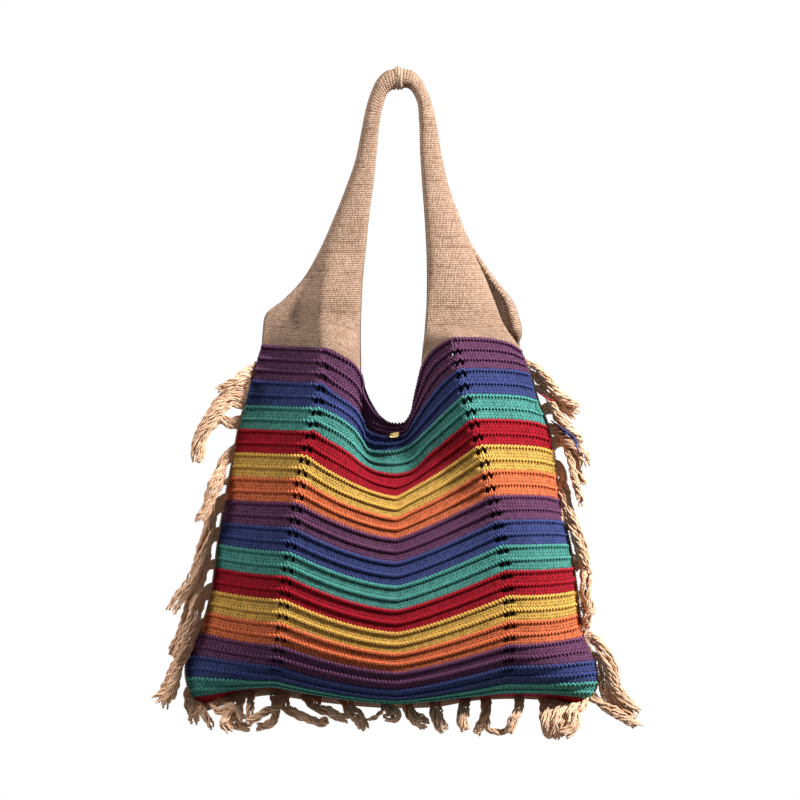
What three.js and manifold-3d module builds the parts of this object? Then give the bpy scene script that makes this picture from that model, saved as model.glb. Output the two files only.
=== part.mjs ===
// A knitted shoulder tote: two chevron-striped panels sewn together with a fringe between them,
// a tan strap in four leaves that meet under a knitted binding, and a magnetic snap at the mouth.
// Millimetres, +Z up. The front faces -Y, and the origin is under the strap, where a hook holds the bag.
import * as THREE from "three";
import { mergeVertices } from "three/addons/utils/BufferGeometryUtils.js";
import Module from "manifold-3d";

const wasm = await Module();
wasm.setup();

// Cloth and clearances
const KNIT = 3.6; // thickness of the knitted wall
const GAP = 0.3; // clearance between pieces that are sewn or pressed together
const RIDGE = 1.6; // how far each garter ridge stands out of the panel

// Body
const TOP_HALF_WIDTH = 125; // centre to side seam at the top corners
const BOTTOM_HALF_WIDTH = 200; // centre to side seam just above the bottom corners
const CORNER_TUCK = 17; // how far the seam turns in at the bottom corners
const BODY_HEIGHT = 342; // top corners down to the bottom seam
const BODY_DEPTH = 118; // front to back where the bag is fullest, across the lace lines
const TOP_DEPTH = 78; // the same at the top
const MOUTH_GAP = 20; // front to back at the middle of the mouth, where the snap is
const NECK_DROP = 68; // how far the middle of the mouth hangs below the top corners
const LACE_TOP = 63; // centre to lace line at the top
const LACE_BOTTOM = 112; // centre to lace line at the bottom
const CHEVRON_RISE = 16; // how far the bottom seam lifts at the lace lines

// Knitting
const BANDS = 33; // ridged bands from the top edge to the bottom seam
const FIRST_STRIPE_BANDS = 3; // the top stripe is one band deeper than the others
const STRIPE_BANDS = 2;

// Strap
const STRAP_RISE = 255; // top corners up to the hook
const STRAP_WIDTH = 20; // across the rolled strap at its top
const STRAP_DEPTH = 17; // front to back of the rolled strap
const ARCH_RADIUS = 10.5; // inside of the strap where it turns over the hook
const LOOP_HALF_WIDTH = 33; // centre to the strap's inner edge at the mouth
const SIDE_BAND = 26; // height of the tan band before the strap's outer edge slopes in
const LEAF_INSET = 1; // how far the strap's lower corner stands in from the panel's
const ARMHOLE_GAP = 12; // front leaf to back leaf at the armhole
const LEAF_BULGE = 9; // how far a leaf bows out between its edges
const BINDING_WIDTH = 7;
const BINDING_WALL = 2.4;

// Fringe
const TAPE_THICKNESS = 2;
const TAPE_REACH = 4; // how far the fringe tape stands out of the side seams
const BOTTOM_TAPE_REACH = 10; // and out of the bottom seam
const TAPE_TUCK = 4; // how far it reaches into the seam
const TASSEL_RADIUS = 4.6;
const SIDE_TASSELS = 13; // on each side seam
const SIDE_TASSEL_LENGTH = 80;
const TOP_FLARE = 26; // degrees that the top side tassel stands away from the seam
const BOTTOM_FLARE = 24; // degrees that the lowest one does
const BOTTOM_TASSELS = 14;
const BOTTOM_TASSEL_LENGTH = 24;
const FRINGE_START_BAND = 1.5; // band where the fringe begins, below the top corners
const LAST_TASSEL_BAND = 27; // band of the lowest side tassel
const CORNER_CLEAR = 0.08; // share of the half width that the bottom fringe leaves free at each corner

// Snap
const SNAP_BAND = 2.25; // band on which the snap sits, just under the edge of the mouth
const CAP_RADIUS = 6.5;
const CAP_HEIGHT = 1.6;
const DISC_RADIUS = 8;
const DISC_HEIGHT = 3.2;
const POST_RADIUS = 1.6;
const MAGNET_HEIGHT = 1.2;
const NUB_RADIUS = 2.6;
const NUB_HEIGHT = 1.4;
const SNAP_SIDES = 10;

// Places in the cloth: across runs from -1 at the left seam to 1 at the right seam
const LACE_AT = 0.56;
const LOOP_AT = 0.31; // where the strap's inner edge meets the mouth
const FLAT_AT = 0.1; // the flat middle of the mouth, which carries the snap
const SEAM_EASE_AT = 0.78; // where the cloth begins to turn flat towards a side seam
const EYELET = 0.02; // width of an eyelet, and of the bar between the two eyelets of a lace line
const LACE_COLUMNS = [1.5, 0.5, -0.5, -1.5].map((k) => -LACE_AT - k * EYELET);
const LEFT_COLUMNS = [-1, ...LACE_COLUMNS, -LOOP_AT, -FLAT_AT];
const COLUMNS = [...LEFT_COLUMNS, ...LEFT_COLUMNS.map((a) => -a).reverse()];
const HIDDEN_BANDS = 3; // bands under the bag, which lie flat towards the bottom seam and have no ridge
const FIRST_EYELET_BAND = 1;
const LAST_EYELET_BAND = 27;
const FULLEST_AT = 0.45; // share of the bands above the fullest part
const TURN_UNDER = 0.68; // share of the bands that hang before the cloth turns under the bag
const TUCK_FROM = 0.86; // share of the bands above the corner tuck
const TURN_ANGLE = THREE.MathUtils.degToRad(80);
const TURN_RATE = TURN_ANGLE / ((1 - TURN_UNDER) * Math.sin(TURN_ANGLE));
const TURN_DROP = TURN_RATE / (TURN_RATE + 1 / TURN_UNDER); // share of the height there, for a smooth slope
const SAG_BANDS = 9; // bands over which the sag of the mouth spreads to the lace lines
const MOUTH_BANDS = 7; // bands that lean back from the belly to the mouth
const VALLEY_BANDS = 19; // how far down the cloth is folded in between the lace lines
const VALLEY_SHARE = 0.25; // share of that fold in the depth of the mouth
const LEAN_BANDS = 13; // bands that hang shorter in the middle because they lean
const LEAN_SHORT = 0.5; // share of its height that the top one loses
const SEAM_Y = TAPE_THICKNESS / 2 + GAP; // the panels' inner faces at the seams

// Colours
const STRIPES = ["#5d3a62", "#2b3d78", "#3f9c86", "#b0182c", "#d9a93f", "#d96f3c"];
const TAN = "#c9a684";
const BRASS = "#c99a4a";
const STEEL = "#8d8f94";

const { lerp, smoothstep, clamp } = THREE.MathUtils;
const v3 = (x, y, z) => new THREE.Vector3(x, y, z);

const wool = (colour) => new THREE.MeshStandardMaterial({ color: colour, roughness: 0.95, metalness: 0 });
const metal = (colour) => new THREE.MeshStandardMaterial({ color: colour, roughness: 0.3, metalness: 1 });
const striped = new THREE.MeshStandardMaterial({ color: "#ffffff", vertexColors: true, roughness: 0.95 });

// The cloth

const stripeColour = (band) =>
  STRIPES[Math.max(0, Math.floor((band - FIRST_STRIPE_BANDS) / STRIPE_BANDS) + 1) % STRIPES.length];

// How far down the body a band lies, as a share, and how far its lace lines stand out of the middle plane.
function hang(t) {
  if (t <= TURN_UNDER) {
    const swell = Math.sin((Math.min(1, t / FULLEST_AT) * Math.PI) / 2);
    return { drop: (t / TURN_UNDER) * TURN_DROP, out: lerp(TOP_DEPTH, BODY_DEPTH, swell) / 2 };
  }
  const turn = ((t - TURN_UNDER) / (1 - TURN_UNDER)) * TURN_ANGLE;
  const left = (Math.cos(turn) - Math.cos(TURN_ANGLE)) / (1 - Math.cos(TURN_ANGLE));
  const drop = TURN_DROP + (1 - TURN_DROP) * (Math.sin(turn) / Math.sin(TURN_ANGLE));
  return { drop, out: (BODY_DEPTH / 2) * left };
}

// A point on the inner face of the front panel. The bands hang from the lace lines and sag between them.
// The cloth slopes from the lace lines back to the side seams, and into a valley at the mouth.
function clothPoint(across, band) {
  const t = band / BANDS;
  const side = Math.abs(across);
  const { drop, out } = hang(t);
  const seamX = lerp(TOP_HALF_WIDTH, BOTTOM_HALF_WIDTH, t) - CORNER_TUCK * smoothstep(t, TUCK_FROM, 1);
  const laceX = lerp(LACE_TOP, LACE_BOTTOM, Math.pow(t, 0.8));
  const outer = clamp((side - LACE_AT) / (1 - LACE_AT), 0, 1);
  const inner = clamp((LACE_AT - side) / (LACE_AT - FLAT_AT), 0, 1);
  const x = side < LACE_AT ? (laceX * side) / LACE_AT : lerp(laceX, seamX, outer);
  const sag = lerp(Math.pow(inner, 1.8), 1 - Math.pow(1 - inner, 1.4), smoothstep(band, 0, SAG_BANDS));
  const top = -STRAP_RISE - NECK_DROP * sag;
  const bottom = -STRAP_RISE - BODY_HEIGHT + CHEVRON_RISE * (1 - Math.max(inner, outer));
  const above = (bands) => Math.max(0, 1 - band / bands);
  const fold = lerp(above(MOUTH_BANDS) ** 2, above(VALLEY_BANDS) ** 2, VALLEY_SHARE);
  const middle = lerp(out, MOUTH_GAP / 2 - SEAM_Y, fold);
  const depth = lerp(out, middle, 1 - Math.pow(1 - inner, 1.8)) * (1 - outer);
  const z = lerp(top, bottom, drop * (1 - LEAN_SHORT * inner * above(LEAN_BANDS)));
  return v3(Math.sign(across) * x, -SEAM_Y - depth, z);
}

// The way out of the cloth. At the side and bottom seams it points straight to the front.
function clothNormal(across, band) {
  const step = 0.02;
  const along = clothPoint(across + step, band).sub(clothPoint(across - step, band));
  const low = clamp(band - 0.5, 0, BANDS - 1);
  const down = clothPoint(across, low + 1).sub(clothPoint(across, low));
  const normal = down.cross(along).normalize();
  const atSide = smoothstep(Math.abs(across), SEAM_EASE_AT, 1);
  const atBottom = smoothstep(band, BANDS - HIDDEN_BANDS, BANDS);
  return normal.lerp(v3(0, -1, 0), Math.max(atSide, atBottom)).normalize();
}

const clothFace = (across, band, out) =>
  clothPoint(across, band).addScaledVector(clothNormal(across, band), out);

// Solids

// A closed sheet between two grids of points, with holes through some of its cells.
function sheetGeometry(front, back, isHole = () => false) {
  const rows = front.length;
  const columns = front[0].length;
  const vertices = [front, back].flatMap((grid) => grid.flat());
  const at = (layer, r, c) => layer * rows * columns + r * columns + c;
  const index = [];
  // Quads to the right of the middle are split the other way, so that both halves of the cloth match.
  const quad = (a, b, c, d) => {
    const right = vertices[a].x + vertices[b].x + vertices[c].x + vertices[d].x > 1e-6;
    if (right) index.push(b, c, d, b, d, a);
    else index.push(a, b, c, a, c, d);
  };
  for (let r = 0; r < rows - 1; r++) {
    for (let c = 0; c < columns - 1; c++) {
      const ring = [[r, c], [r + 1, c], [r + 1, c + 1], [r, c + 1]];
      const [near, far] = [0, 1].map((layer) => ring.map(([row, column]) => at(layer, row, column)));
      if (isHole(r, c)) {
        for (let k = 0; k < 4; k++) quad(near[k], near[(k + 1) % 4], far[(k + 1) % 4], far[k]);
      } else {
        quad(...near);
        quad(...far.reverse());
      }
    }
    quad(at(0, r, 0), at(1, r, 0), at(1, r + 1, 0), at(0, r + 1, 0));
    quad(at(0, r, columns - 1), at(0, r + 1, columns - 1), at(1, r + 1, columns - 1), at(1, r, columns - 1));
  }
  for (let c = 0; c < columns - 1; c++) {
    quad(at(0, 0, c), at(0, 0, c + 1), at(1, 0, c + 1), at(1, 0, c));
    quad(at(0, rows - 1, c), at(1, rows - 1, c), at(1, rows - 1, c + 1), at(0, rows - 1, c + 1));
  }
  return facingOut(new THREE.BufferGeometry().setFromPoints(vertices).setIndex(index));
}

// A closed tube through rings of points, with a point at each end.
function ringGeometry(rings, start, end) {
  const sides = rings[0].length;
  const vertices = [...rings.flat(), start, end];
  const startAt = rings.length * sides;
  const index = [];
  rings.forEach((_, r) => {
    for (let s = 0; s < sides; s++) {
      const next = (s + 1) % sides;
      const [a, b] = [r * sides + s, r * sides + next];
      if (r === 0) index.push(startAt, b, a);
      if (r === rings.length - 1) index.push(startAt + 1, a, b);
      else index.push(a, b, b + sides, a, b + sides, a + sides);
    }
  });
  return facingOut(new THREE.BufferGeometry().setFromPoints(vertices).setIndex(index));
}

// Turns every face round if the solid is inside out.
function facingOut(geometry) {
  const p = geometry.getAttribute("position");
  const i = geometry.index.array;
  const corner = (k) => new THREE.Vector3().fromBufferAttribute(p, i[k]);
  let volume = 0;
  for (let k = 0; k < i.length; k += 3) volume += corner(k).dot(corner(k + 1).cross(corner(k + 2)));
  if (volume < 0) for (let k = 0; k < i.length; k += 3) [i[k + 1], i[k + 2]] = [i[k + 2], i[k + 1]];
  geometry.computeVertexNormals();
  return geometry;
}

// A merged geometry as a solid for joining and cutting. A band value is carried along if there is one.
function solidOf(geometry) {
  const plain = geometry.clone();
  plain.deleteAttribute("normal");
  plain.deleteAttribute("uv");
  const merged = mergeVertices(plain, 1e-4);
  const p = merged.getAttribute("position");
  const band = merged.getAttribute("band");
  const numProp = band ? 4 : 3;
  const vertProperties = new Float32Array(p.count * numProp);
  for (let k = 0; k < p.count; k++) {
    vertProperties.set([p.getX(k), p.getY(k), p.getZ(k)], k * numProp);
    if (band) vertProperties[k * numProp + 3] = band.getX(k);
  }
  const triVerts = new Uint32Array(merged.index.array);
  return new wasm.Manifold(new wasm.Mesh({ numProp, vertProperties, triVerts }));
}

// The faces of a cut panel, each in the colour of the stripe that it lies in.
function stripedGeometry(solid) {
  const { numProp, vertProperties, triVerts } = solid.getMesh();
  const places = [];
  const colours = [];
  for (let k = 0; k < triVerts.length; k += 3) {
    const corners = [...triVerts.subarray(k, k + 3)].map((n) => vertProperties.subarray(n * numProp));
    const band = (corners[0][3] + corners[1][3] + corners[2][3]) / 3;
    const colour = new THREE.Color(stripeColour(band));
    for (const corner of corners) {
      places.push(corner[0], corner[1], corner[2]);
      colours.push(colour.r, colour.g, colour.b);
    }
  }
  const geometry = new THREE.BufferGeometry();
  geometry.setAttribute("position", new THREE.Float32BufferAttribute(places, 3));
  geometry.setAttribute("color", new THREE.Float32BufferAttribute(colours, 3));
  geometry.computeVertexNormals();
  return geometry;
}

function addMesh(parent, name, geometry, material) {
  const mesh = new THREE.Mesh(geometry, material);
  mesh.name = name;
  parent.add(mesh);
}

const mirrored = (geometry, x, y) => facingOut(geometry.clone().scale(x, y, 1));

// The knitted panels, with a ridge at the top of each band and a hole for the snap's post

const snapNormal = clothNormal(0, SNAP_BAND);

// How far a face of the cloth reaches along the snap's axis, within a radius of it.
function snapReach(radius, out, pick) {
  const centre = clothPoint(0, SNAP_BAND);
  const reaches = [];
  for (let band = 0; band <= 2 * SNAP_BAND; band += 1 / 8) {
    for (const across of [0, FLAT_AT / 2, FLAT_AT]) {
      const offset = clothFace(across, band, out).sub(centre);
      const height = offset.dot(snapNormal);
      if (offset.lengthSq() - height ** 2 <= radius ** 2) reaches.push(height);
    }
  }
  return pick(...reaches);
}

const CAP_FOOT = snapReach(CAP_RADIUS, KNIT + RIDGE, Math.max) + GAP;
const DISC_TOP = snapReach(DISC_RADIUS, 0, Math.min) - GAP;

// A turned piece of the snap, square to the cloth. Heights count outwards from the cloth's inner face.
function snapGeometry(profile) {
  const points = profile.map(([radius, height]) => new THREE.Vector2(radius, height));
  const geometry = new THREE.LatheGeometry(points, SNAP_SIDES);
  const turn = new THREE.Quaternion().setFromUnitVectors(v3(0, 1, 0), snapNormal);
  const foot = clothPoint(0, SNAP_BAND);
  geometry.applyQuaternion(turn).translate(foot.x, foot.y, foot.z);
  const merged = mergeVertices(geometry.deleteAttribute("normal").deleteAttribute("uv"), 1e-4);
  merged.computeVertexNormals();
  return merged;
}

// The rows of a panel: two for each band, one on its ridge, and one for each hidden band.
function panelBands() {
  const bands = [];
  for (let band = 0; band < BANDS - HIDDEN_BANDS; band += 0.5) bands.push(band);
  for (let k = HIDDEN_BANDS; k >= 0; k--) bands.push(BANDS - k);
  return bands;
}

function frontPanelGeometry() {
  const bands = panelBands();
  const isRidge = (band) => Number.isInteger(band) && band > 0 && band <= BANDS - HIDDEN_BANDS;
  const row = (band, out) => COLUMNS.map((a) => clothFace(a, band, out));
  const outer = bands.map((band) => row(band, isRidge(band) ? KNIT + RIDGE : KNIT));
  const inner = bands.map((band) => row(band, 0));
  const eyeletColumns = [LACE_COLUMNS[0], LACE_COLUMNS[2], -LACE_COLUMNS[1], -LACE_COLUMNS[3]];
  const isEyelet = (r, c) => {
    const inRange = bands[r] >= FIRST_EYELET_BAND && bands[r] <= LAST_EYELET_BAND;
    return inRange && !Number.isInteger(bands[r]) && eyeletColumns.includes(COLUMNS[c]);
  };
  const sheet = sheetGeometry(outer, inner, isEyelet);
  const oneLayer = bands.flatMap((band) => COLUMNS.map(() => band));
  sheet.setAttribute("band", new THREE.Float32BufferAttribute([...oneLayer, ...oneLayer], 1));
  const hole = POST_RADIUS + GAP;
  const post = snapGeometry([[0, DISC_TOP], [hole, DISC_TOP], [hole, CAP_FOOT], [0, CAP_FOOT]]);
  return stripedGeometry(solidOf(sheet).subtract(solidOf(post)));
}

// The strap: each leaf grows out of a panel's top edge, narrows and rolls into half of the strap

const ARCH_Z = BINDING_WALL + 2 * GAP - ARCH_RADIUS; // centre of the turn over the hook
const CORNER_Z = -STRAP_RISE + SIDE_BAND;
const ARCH_STEPS = 3;
const LEG_STEPS = 5;

// A leaf has the panel's columns, so that the two edges lie together, and one more beside the lace line.
const halfway = (k) => (LEFT_COLUMNS[k] + LEFT_COLUMNS[k + 1]) / 2;
const LEAF_COLUMNS = [-1, halfway(0), ...LACE_COLUMNS, halfway(4), -LOOP_AT];

// The point at a place across the straight stretches of a panel's top edge.
function topEdge(across, out) {
  const k = Math.max(1, LEFT_COLUMNS.findIndex((a) => a >= across));
  const [from, to] = [LEFT_COLUMNS[k - 1], LEFT_COLUMNS[k]];
  const edge = clothFace(from, 0, out).lerp(clothFace(to, 0, out), (across - from) / (to - from));
  return edge.add(v3(0, 0, GAP));
}

// How far round its half of the strap a column of a leaf lies, from the outer edge to the inner one.
const leafAngle = (across) => {
  const outside = across < -LACE_AT;
  const share = outside ? (across + 1) / (1 - LACE_AT) : 1 + (across + LACE_AT) / (LACE_AT - LOOP_AT);
  return (share * Math.PI) / 2;
};

// The inner and outer edge of the left strap, and how deep it is, at each station from the mouth to the top.
function strapStations() {
  const stations = [];
  const outerTop = ARCH_RADIUS + STRAP_WIDTH;
  for (let k = 0; k <= LEG_STEPS; k++) {
    const rise = k / LEG_STEPS;
    const fall = 1 - rise;
    const z = lerp(CORNER_Z, ARCH_Z, rise);
    const innerX = lerp(ARCH_RADIUS, LOOP_HALF_WIDTH, 1 - rise * rise);
    const outerX = lerp(outerTop, TOP_HALF_WIDTH - LEAF_INSET, Math.pow(fall, 1.75));
    stations.push({ inner: v3(-innerX, 0, z), outer: v3(-outerX, 0, z), fall });
  }
  for (let k = 1; k <= ARCH_STEPS; k++) {
    const angle = (k / ARCH_STEPS) * (Math.PI / 2);
    const onArch = (radius) => v3(-radius * Math.cos(angle), 0, ARCH_Z + radius * Math.sin(angle));
    stations.push({ inner: onArch(ARCH_RADIUS), outer: onArch(outerTop), fall: 0 });
  }
  stations.at(-1).inner.x = stations.at(-1).outer.x = -GAP / 2;
  return stations;
}

function leafGeometry() {
  const mouthInner = clothPoint(-LOOP_AT, 0).y;
  const outerRows = [LEAF_COLUMNS.map((a) => topEdge(a, KNIT))];
  const innerRows = [LEAF_COLUMNS.map((a) => topEdge(a, 0))];
  for (const { inner, outer, fall } of strapStations()) {
    const innerY = lerp(-GAP, mouthInner, Math.pow(fall, 2));
    const outerY = -GAP - (ARMHOLE_GAP / 2) * Math.sin(Math.PI * Math.pow(fall, 2));
    const bulge = lerp(STRAP_DEPTH / 2 - GAP, LEAF_BULGE, smoothstep(fall, 0, 0.6));
    const half = outer.distanceTo(inner) / 2;
    const section = (shrink) =>
      LEAF_COLUMNS.map((a) => {
        const angle = leafAngle(a);
        const w = (1 - (Math.cos(angle) * (half - shrink)) / half) / 2;
        const y = lerp(outerY, innerY, w) - Math.sin(angle) * Math.max(bulge - shrink, KNIT / 2);
        return outer.clone().lerp(inner, w).setY(y);
      });
    outerRows.push(section(0));
    innerRows.push(section(KNIT));
  }
  return sheetGeometry(outerRows, innerRows);
}

function bindingGeometry() {
  const middle = ARCH_Z + ARCH_RADIUS + STRAP_WIDTH / 2;
  const archDrop = (BINDING_WIDTH / 2) * Math.tan(Math.PI / (4 * ARCH_STEPS));
  const tall = STRAP_WIDTH / 2 + archDrop + GAP;
  const deep = STRAP_DEPTH / 2 + 2 * GAP;
  const ring = new THREE.Shape().absellipse(0, 0, deep + BINDING_WALL, tall + BINDING_WALL, 0, 2 * Math.PI);
  ring.holes.push(new THREE.Path().absellipse(0, 0, deep, tall, 0, 2 * Math.PI));
  const options = { depth: BINDING_WIDTH, bevelEnabled: false, curveSegments: 8 };
  const geometry = new THREE.ExtrudeGeometry(ring, options).translate(0, 0, -BINDING_WIDTH / 2);
  return geometry.rotateX(Math.PI / 2).rotateZ(Math.PI / 2).translate(0, 0, middle);
}

// The fringe: a flat tape in the seams carries the tassels

const SEAM_STEPS = 12;

// The left half of the seam, from where the fringe begins down to the middle of the bottom.
function leftSeam() {
  const side = [];
  for (let k = 0; k < SEAM_STEPS; k++) {
    const band = lerp(FRINGE_START_BAND, BANDS, k / SEAM_STEPS);
    side.push(clothPoint(-1, band));
  }
  const bottom = [...COLUMNS.filter((a) => a < 0), 0].map((a) => clothPoint(a, BANDS));
  return [...side, ...bottom].map((p) => new THREE.Vector2(p.x, p.z));
}

// The way out of the seam at each of its points. The last one is on the middle line and points down.
function seamNormals(points) {
  return points.map((_, k) => {
    const before = points[Math.max(0, k - 1)];
    const after = points[Math.min(points.length - 1, k + 1)];
    const along = after.clone().sub(before).normalize();
    return k === points.length - 1 ? new THREE.Vector2(0, -1) : new THREE.Vector2(along.y, -along.x);
  });
}

const seamPoints = leftSeam();
const seamAway = seamNormals(seamPoints);
const seamReach = seamPoints.map((_, k) => (k > SEAM_STEPS ? BOTTOM_TAPE_REACH : TAPE_REACH));

function tapeGeometry() {
  const offset = (far) => seamPoints.map((p, k) => p.clone().addScaledVector(seamAway[k], far(k)));
  const flip = (side) => side.slice(0, -1).map((p) => new THREE.Vector2(-p.x, p.y));
  const both = (side) => [...side, ...flip(side).reverse()];
  const far = both(offset((k) => seamReach[k]));
  const near = both(offset(() => -TAPE_TUCK));
  const shape = new THREE.Shape([...far, ...near.reverse()]);
  const geometry = new THREE.ExtrudeGeometry(shape, { depth: TAPE_THICKNESS, bevelEnabled: false });
  return geometry.translate(0, 0, -TAPE_THICKNESS / 2).rotateX(Math.PI / 2);
}

// A tassel's start just off the tape's edge, and its neck, at a place counted along the left seam's points.
function tasselRoot(place) {
  const k = Math.min(Math.floor(place), seamPoints.length - 2);
  const away = seamAway[k].clone().lerp(seamAway[k + 1], place - k);
  const reach = lerp(seamReach[k], seamReach[k + 1], place - k);
  const edge = seamPoints[k].clone().lerp(seamPoints[k + 1], place - k).addScaledVector(away, reach);
  const offEdge = (far) => edge.clone().addScaledVector(away.clone().normalize(), far);
  const [start, neck] = [GAP, GAP + TASSEL_RADIUS * NECK_GIRTH].map(offEdge);
  return { start: v3(start.x, 0, start.y), neck: v3(neck.x, 0, neck.y) };
}

const TASSEL_SIDES = 5;
const NECK_GIRTH = 0.4; // share of the full radius at a tassel's root
const TASSEL_STATIONS = [[0, NECK_GIRTH], [0.2, 1], [0.6, 1], [1, 0.75]]; // shares of length and radius
const FRAME_STEPS = 10;

function tasselGeometry({ start, points }) {
  const curve = new THREE.CatmullRomCurve3(points);
  const frames = curve.computeFrenetFrames(FRAME_STEPS, false);
  const rings = TASSEL_STATIONS.map(([along, girth]) => {
    const k = Math.round(along * FRAME_STEPS);
    const centre = curve.getPointAt(along);
    return Array.from({ length: TASSEL_SIDES }, (_, s) => {
      const angle = (s / TASSEL_SIDES) * 2 * Math.PI;
      const radius = TASSEL_RADIUS * girth;
      return centre
        .clone()
        .addScaledVector(frames.normals[k], radius * Math.cos(angle))
        .addScaledVector(frames.binormals[k], radius * Math.sin(angle));
    });
  });
  const tip = curve.getPointAt(1).addScaledVector(frames.tangents[FRAME_STEPS], TASSEL_RADIUS / 2);
  return ringGeometry(rings, start, tip);
}

// Ways round the seam that side tassels take in turn, and how far out they stand to hang clear of each other
const LANES = [-68, 22, -22, 68].map(THREE.MathUtils.degToRad);
const LANE_STEP = Math.sin(LANES[3]) - Math.sin(LANES[1]);
const SWING = (2 * TASSEL_RADIUS + GAP) / LANE_STEP;
const FIRST_TASSEL_STEP = 0.4; // place of the top side tassel, in steps of the seam
const TOP_FLARE_FADE = 1.5; // tassels over which the top flare fades
const BOTTOM_FLARE_TASSELS = 3; // side tassels above the lowest over which the bottom flare grows

// A side tassel leaves the tape, swings to its own lane and hangs along the seam. The end ones flare out.
function sideTassel(k) {
  const lowest = ((LAST_TASSEL_BAND - FRINGE_START_BAND) / (BANDS - FRINGE_START_BAND)) * SEAM_STEPS;
  const { start, neck } = tasselRoot(lerp(FIRST_TASSEL_STEP, lowest, k / (SIDE_TASSELS - 1)));
  const along = clothPoint(-1, LAST_TASSEL_BAND).sub(clothPoint(-1, 0)).setY(0).normalize();
  const out = v3(along.z, 0, -along.x);
  const low = smoothstep(k, SIDE_TASSELS - 1 - BOTTOM_FLARE_TASSELS, SIDE_TASSELS - 1);
  const flare = TOP_FLARE * Math.exp(-k / TOP_FLARE_FADE) + BOTTOM_FLARE * low;
  const down = along.clone().applyAxisAngle(v3(0, 1, 0), THREE.MathUtils.degToRad(flare));
  const lane = LANES[k % LANES.length];
  const swing = out.clone().multiplyScalar(Math.cos(lane)).add(v3(0, Math.sin(lane), 0));
  const hangPoint = (share) =>
    neck.clone().addScaledVector(swing, SWING).addScaledVector(down, share * SIDE_TASSEL_LENGTH);
  return { start, points: [neck, hangPoint(0.15), hangPoint(0.55), hangPoint(1)] };
}

// A bottom tassel hangs from the tape, a little to one side and to the front.
function bottomTassel(k) {
  const share = lerp(CORNER_CLEAR, 2 - CORNER_CLEAR, k / (BOTTOM_TASSELS - 1));
  const x = lerp(seamPoints[SEAM_STEPS].x, 0, 1 - Math.abs(1 - share));
  const after = seamPoints.findIndex((p, n) => n > SEAM_STEPS && p.x >= x - 1e-6);
  const [from, to] = [seamPoints[after - 1].x, seamPoints[after].x];
  const { start, neck } = tasselRoot(after - 1 + (x - from) / (to - from));
  if (share > 1) [start, neck].forEach((p) => p.setX(-p.x));
  const lean = Math.sin(5 * k) * TASSEL_RADIUS;
  const forward = -Math.abs(Math.cos(3 * k)) * TASSEL_RADIUS;
  const below = (part) => neck.clone().add(v3(lean * part, forward * part, -part * BOTTOM_TASSEL_LENGTH));
  return { start, points: [neck, below(0.5), below(1)] };
}

// The assembly

const tote = new THREE.Group();
const count = (k) => String(k + 1).padStart(2, "0");

const frontPanel = frontPanelGeometry();
addMesh(tote, "front_panel", frontPanel, striped);
const backPanel = frontPanel.clone().rotateZ(Math.PI);
addMesh(tote, "back_panel", backPanel, striped);

const leaf = leafGeometry();
const strap = new THREE.Group();
addMesh(strap, "front_left_strap", leaf, wool(TAN));
addMesh(strap, "front_right_strap", mirrored(leaf, -1, 1), wool(TAN));
addMesh(strap, "back_left_strap", mirrored(leaf, 1, -1), wool(TAN));
addMesh(strap, "back_right_strap", mirrored(leaf, -1, -1), wool(TAN));
addMesh(strap, "strap_binding", bindingGeometry(), wool(TAN));
tote.add(strap);

const fringe = new THREE.Group();
addMesh(fringe, "fringe_tape", tapeGeometry(), wool(TAN));
for (let k = 0; k < SIDE_TASSELS; k++) {
  const tassel = tasselGeometry(sideTassel(k));
  addMesh(fringe, `tassel_left_${count(k)}`, tassel, wool(TAN));
  addMesh(fringe, `tassel_right_${count(k)}`, mirrored(tassel, -1, 1), wool(TAN));
}
for (let k = 0; k < BOTTOM_TASSELS; k++) {
  addMesh(fringe, `tassel_bottom_${count(k)}`, tasselGeometry(bottomTassel(k)), wool(TAN));
}
tote.add(fringe);

// Each snap half is a capped rivet through the cloth and a disc inside. The back one holds the magnet.
const discFoot = DISC_TOP - DISC_HEIGHT;
const bore = POST_RADIUS + GAP;
const discRim = DISC_RADIUS * 0.9;
const rivetProfile = [
  [0, discFoot],
  [POST_RADIUS, discFoot],
  [POST_RADIUS, CAP_FOOT],
  [CAP_RADIUS, CAP_FOOT],
  [CAP_RADIUS, CAP_FOOT + CAP_HEIGHT / 2],
  [CAP_RADIUS * 0.7, CAP_FOOT + CAP_HEIGHT],
  [0, CAP_FOOT + CAP_HEIGHT],
];
const discProfile = (crown) => [
  [bore, DISC_TOP],
  [bore, discFoot],
  ...crown,
  [discRim, discFoot],
  [DISC_RADIUS, discFoot + DISC_HEIGHT / 4],
  [DISC_RADIUS, DISC_TOP],
  [bore, DISC_TOP],
];
const nub = [[NUB_RADIUS, discFoot - NUB_HEIGHT], [NUB_RADIUS + GAP, discFoot]];
const magnetBore = NUB_RADIUS + 2 * GAP;
const magnetTop = discFoot - GAP;
const magnetProfile = [
  [magnetBore, magnetTop],
  [magnetBore, magnetTop - MAGNET_HEIGHT],
  [discRim, magnetTop - MAGNET_HEIGHT],
  [discRim, magnetTop],
  [magnetBore, magnetTop],
];
const frontSnap = (profile) => facingOut(snapGeometry(profile));
const backSnap = (profile) => facingOut(snapGeometry(profile).rotateZ(Math.PI));
const snap = new THREE.Group();
addMesh(snap, "front_snap_rivet", frontSnap(rivetProfile), metal(BRASS));
addMesh(snap, "front_snap_stud", frontSnap(discProfile(nub)), metal(BRASS));
addMesh(snap, "back_snap_rivet", backSnap(rivetProfile), metal(BRASS));
addMesh(snap, "back_snap_socket", backSnap(discProfile([])), metal(BRASS));
addMesh(snap, "snap_magnet", backSnap(magnetProfile), metal(STEEL));
tote.add(snap);

export default tote;
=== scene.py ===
"""Dresses the solids of a knitted tote bag: two striped panels with garter ridges and lace, a tan strap
in four leaves, a yarn fringe in the seams and a magnetic snap. Places are in metres in the solids' frame."""

import math
from functools import partialmethod

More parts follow.
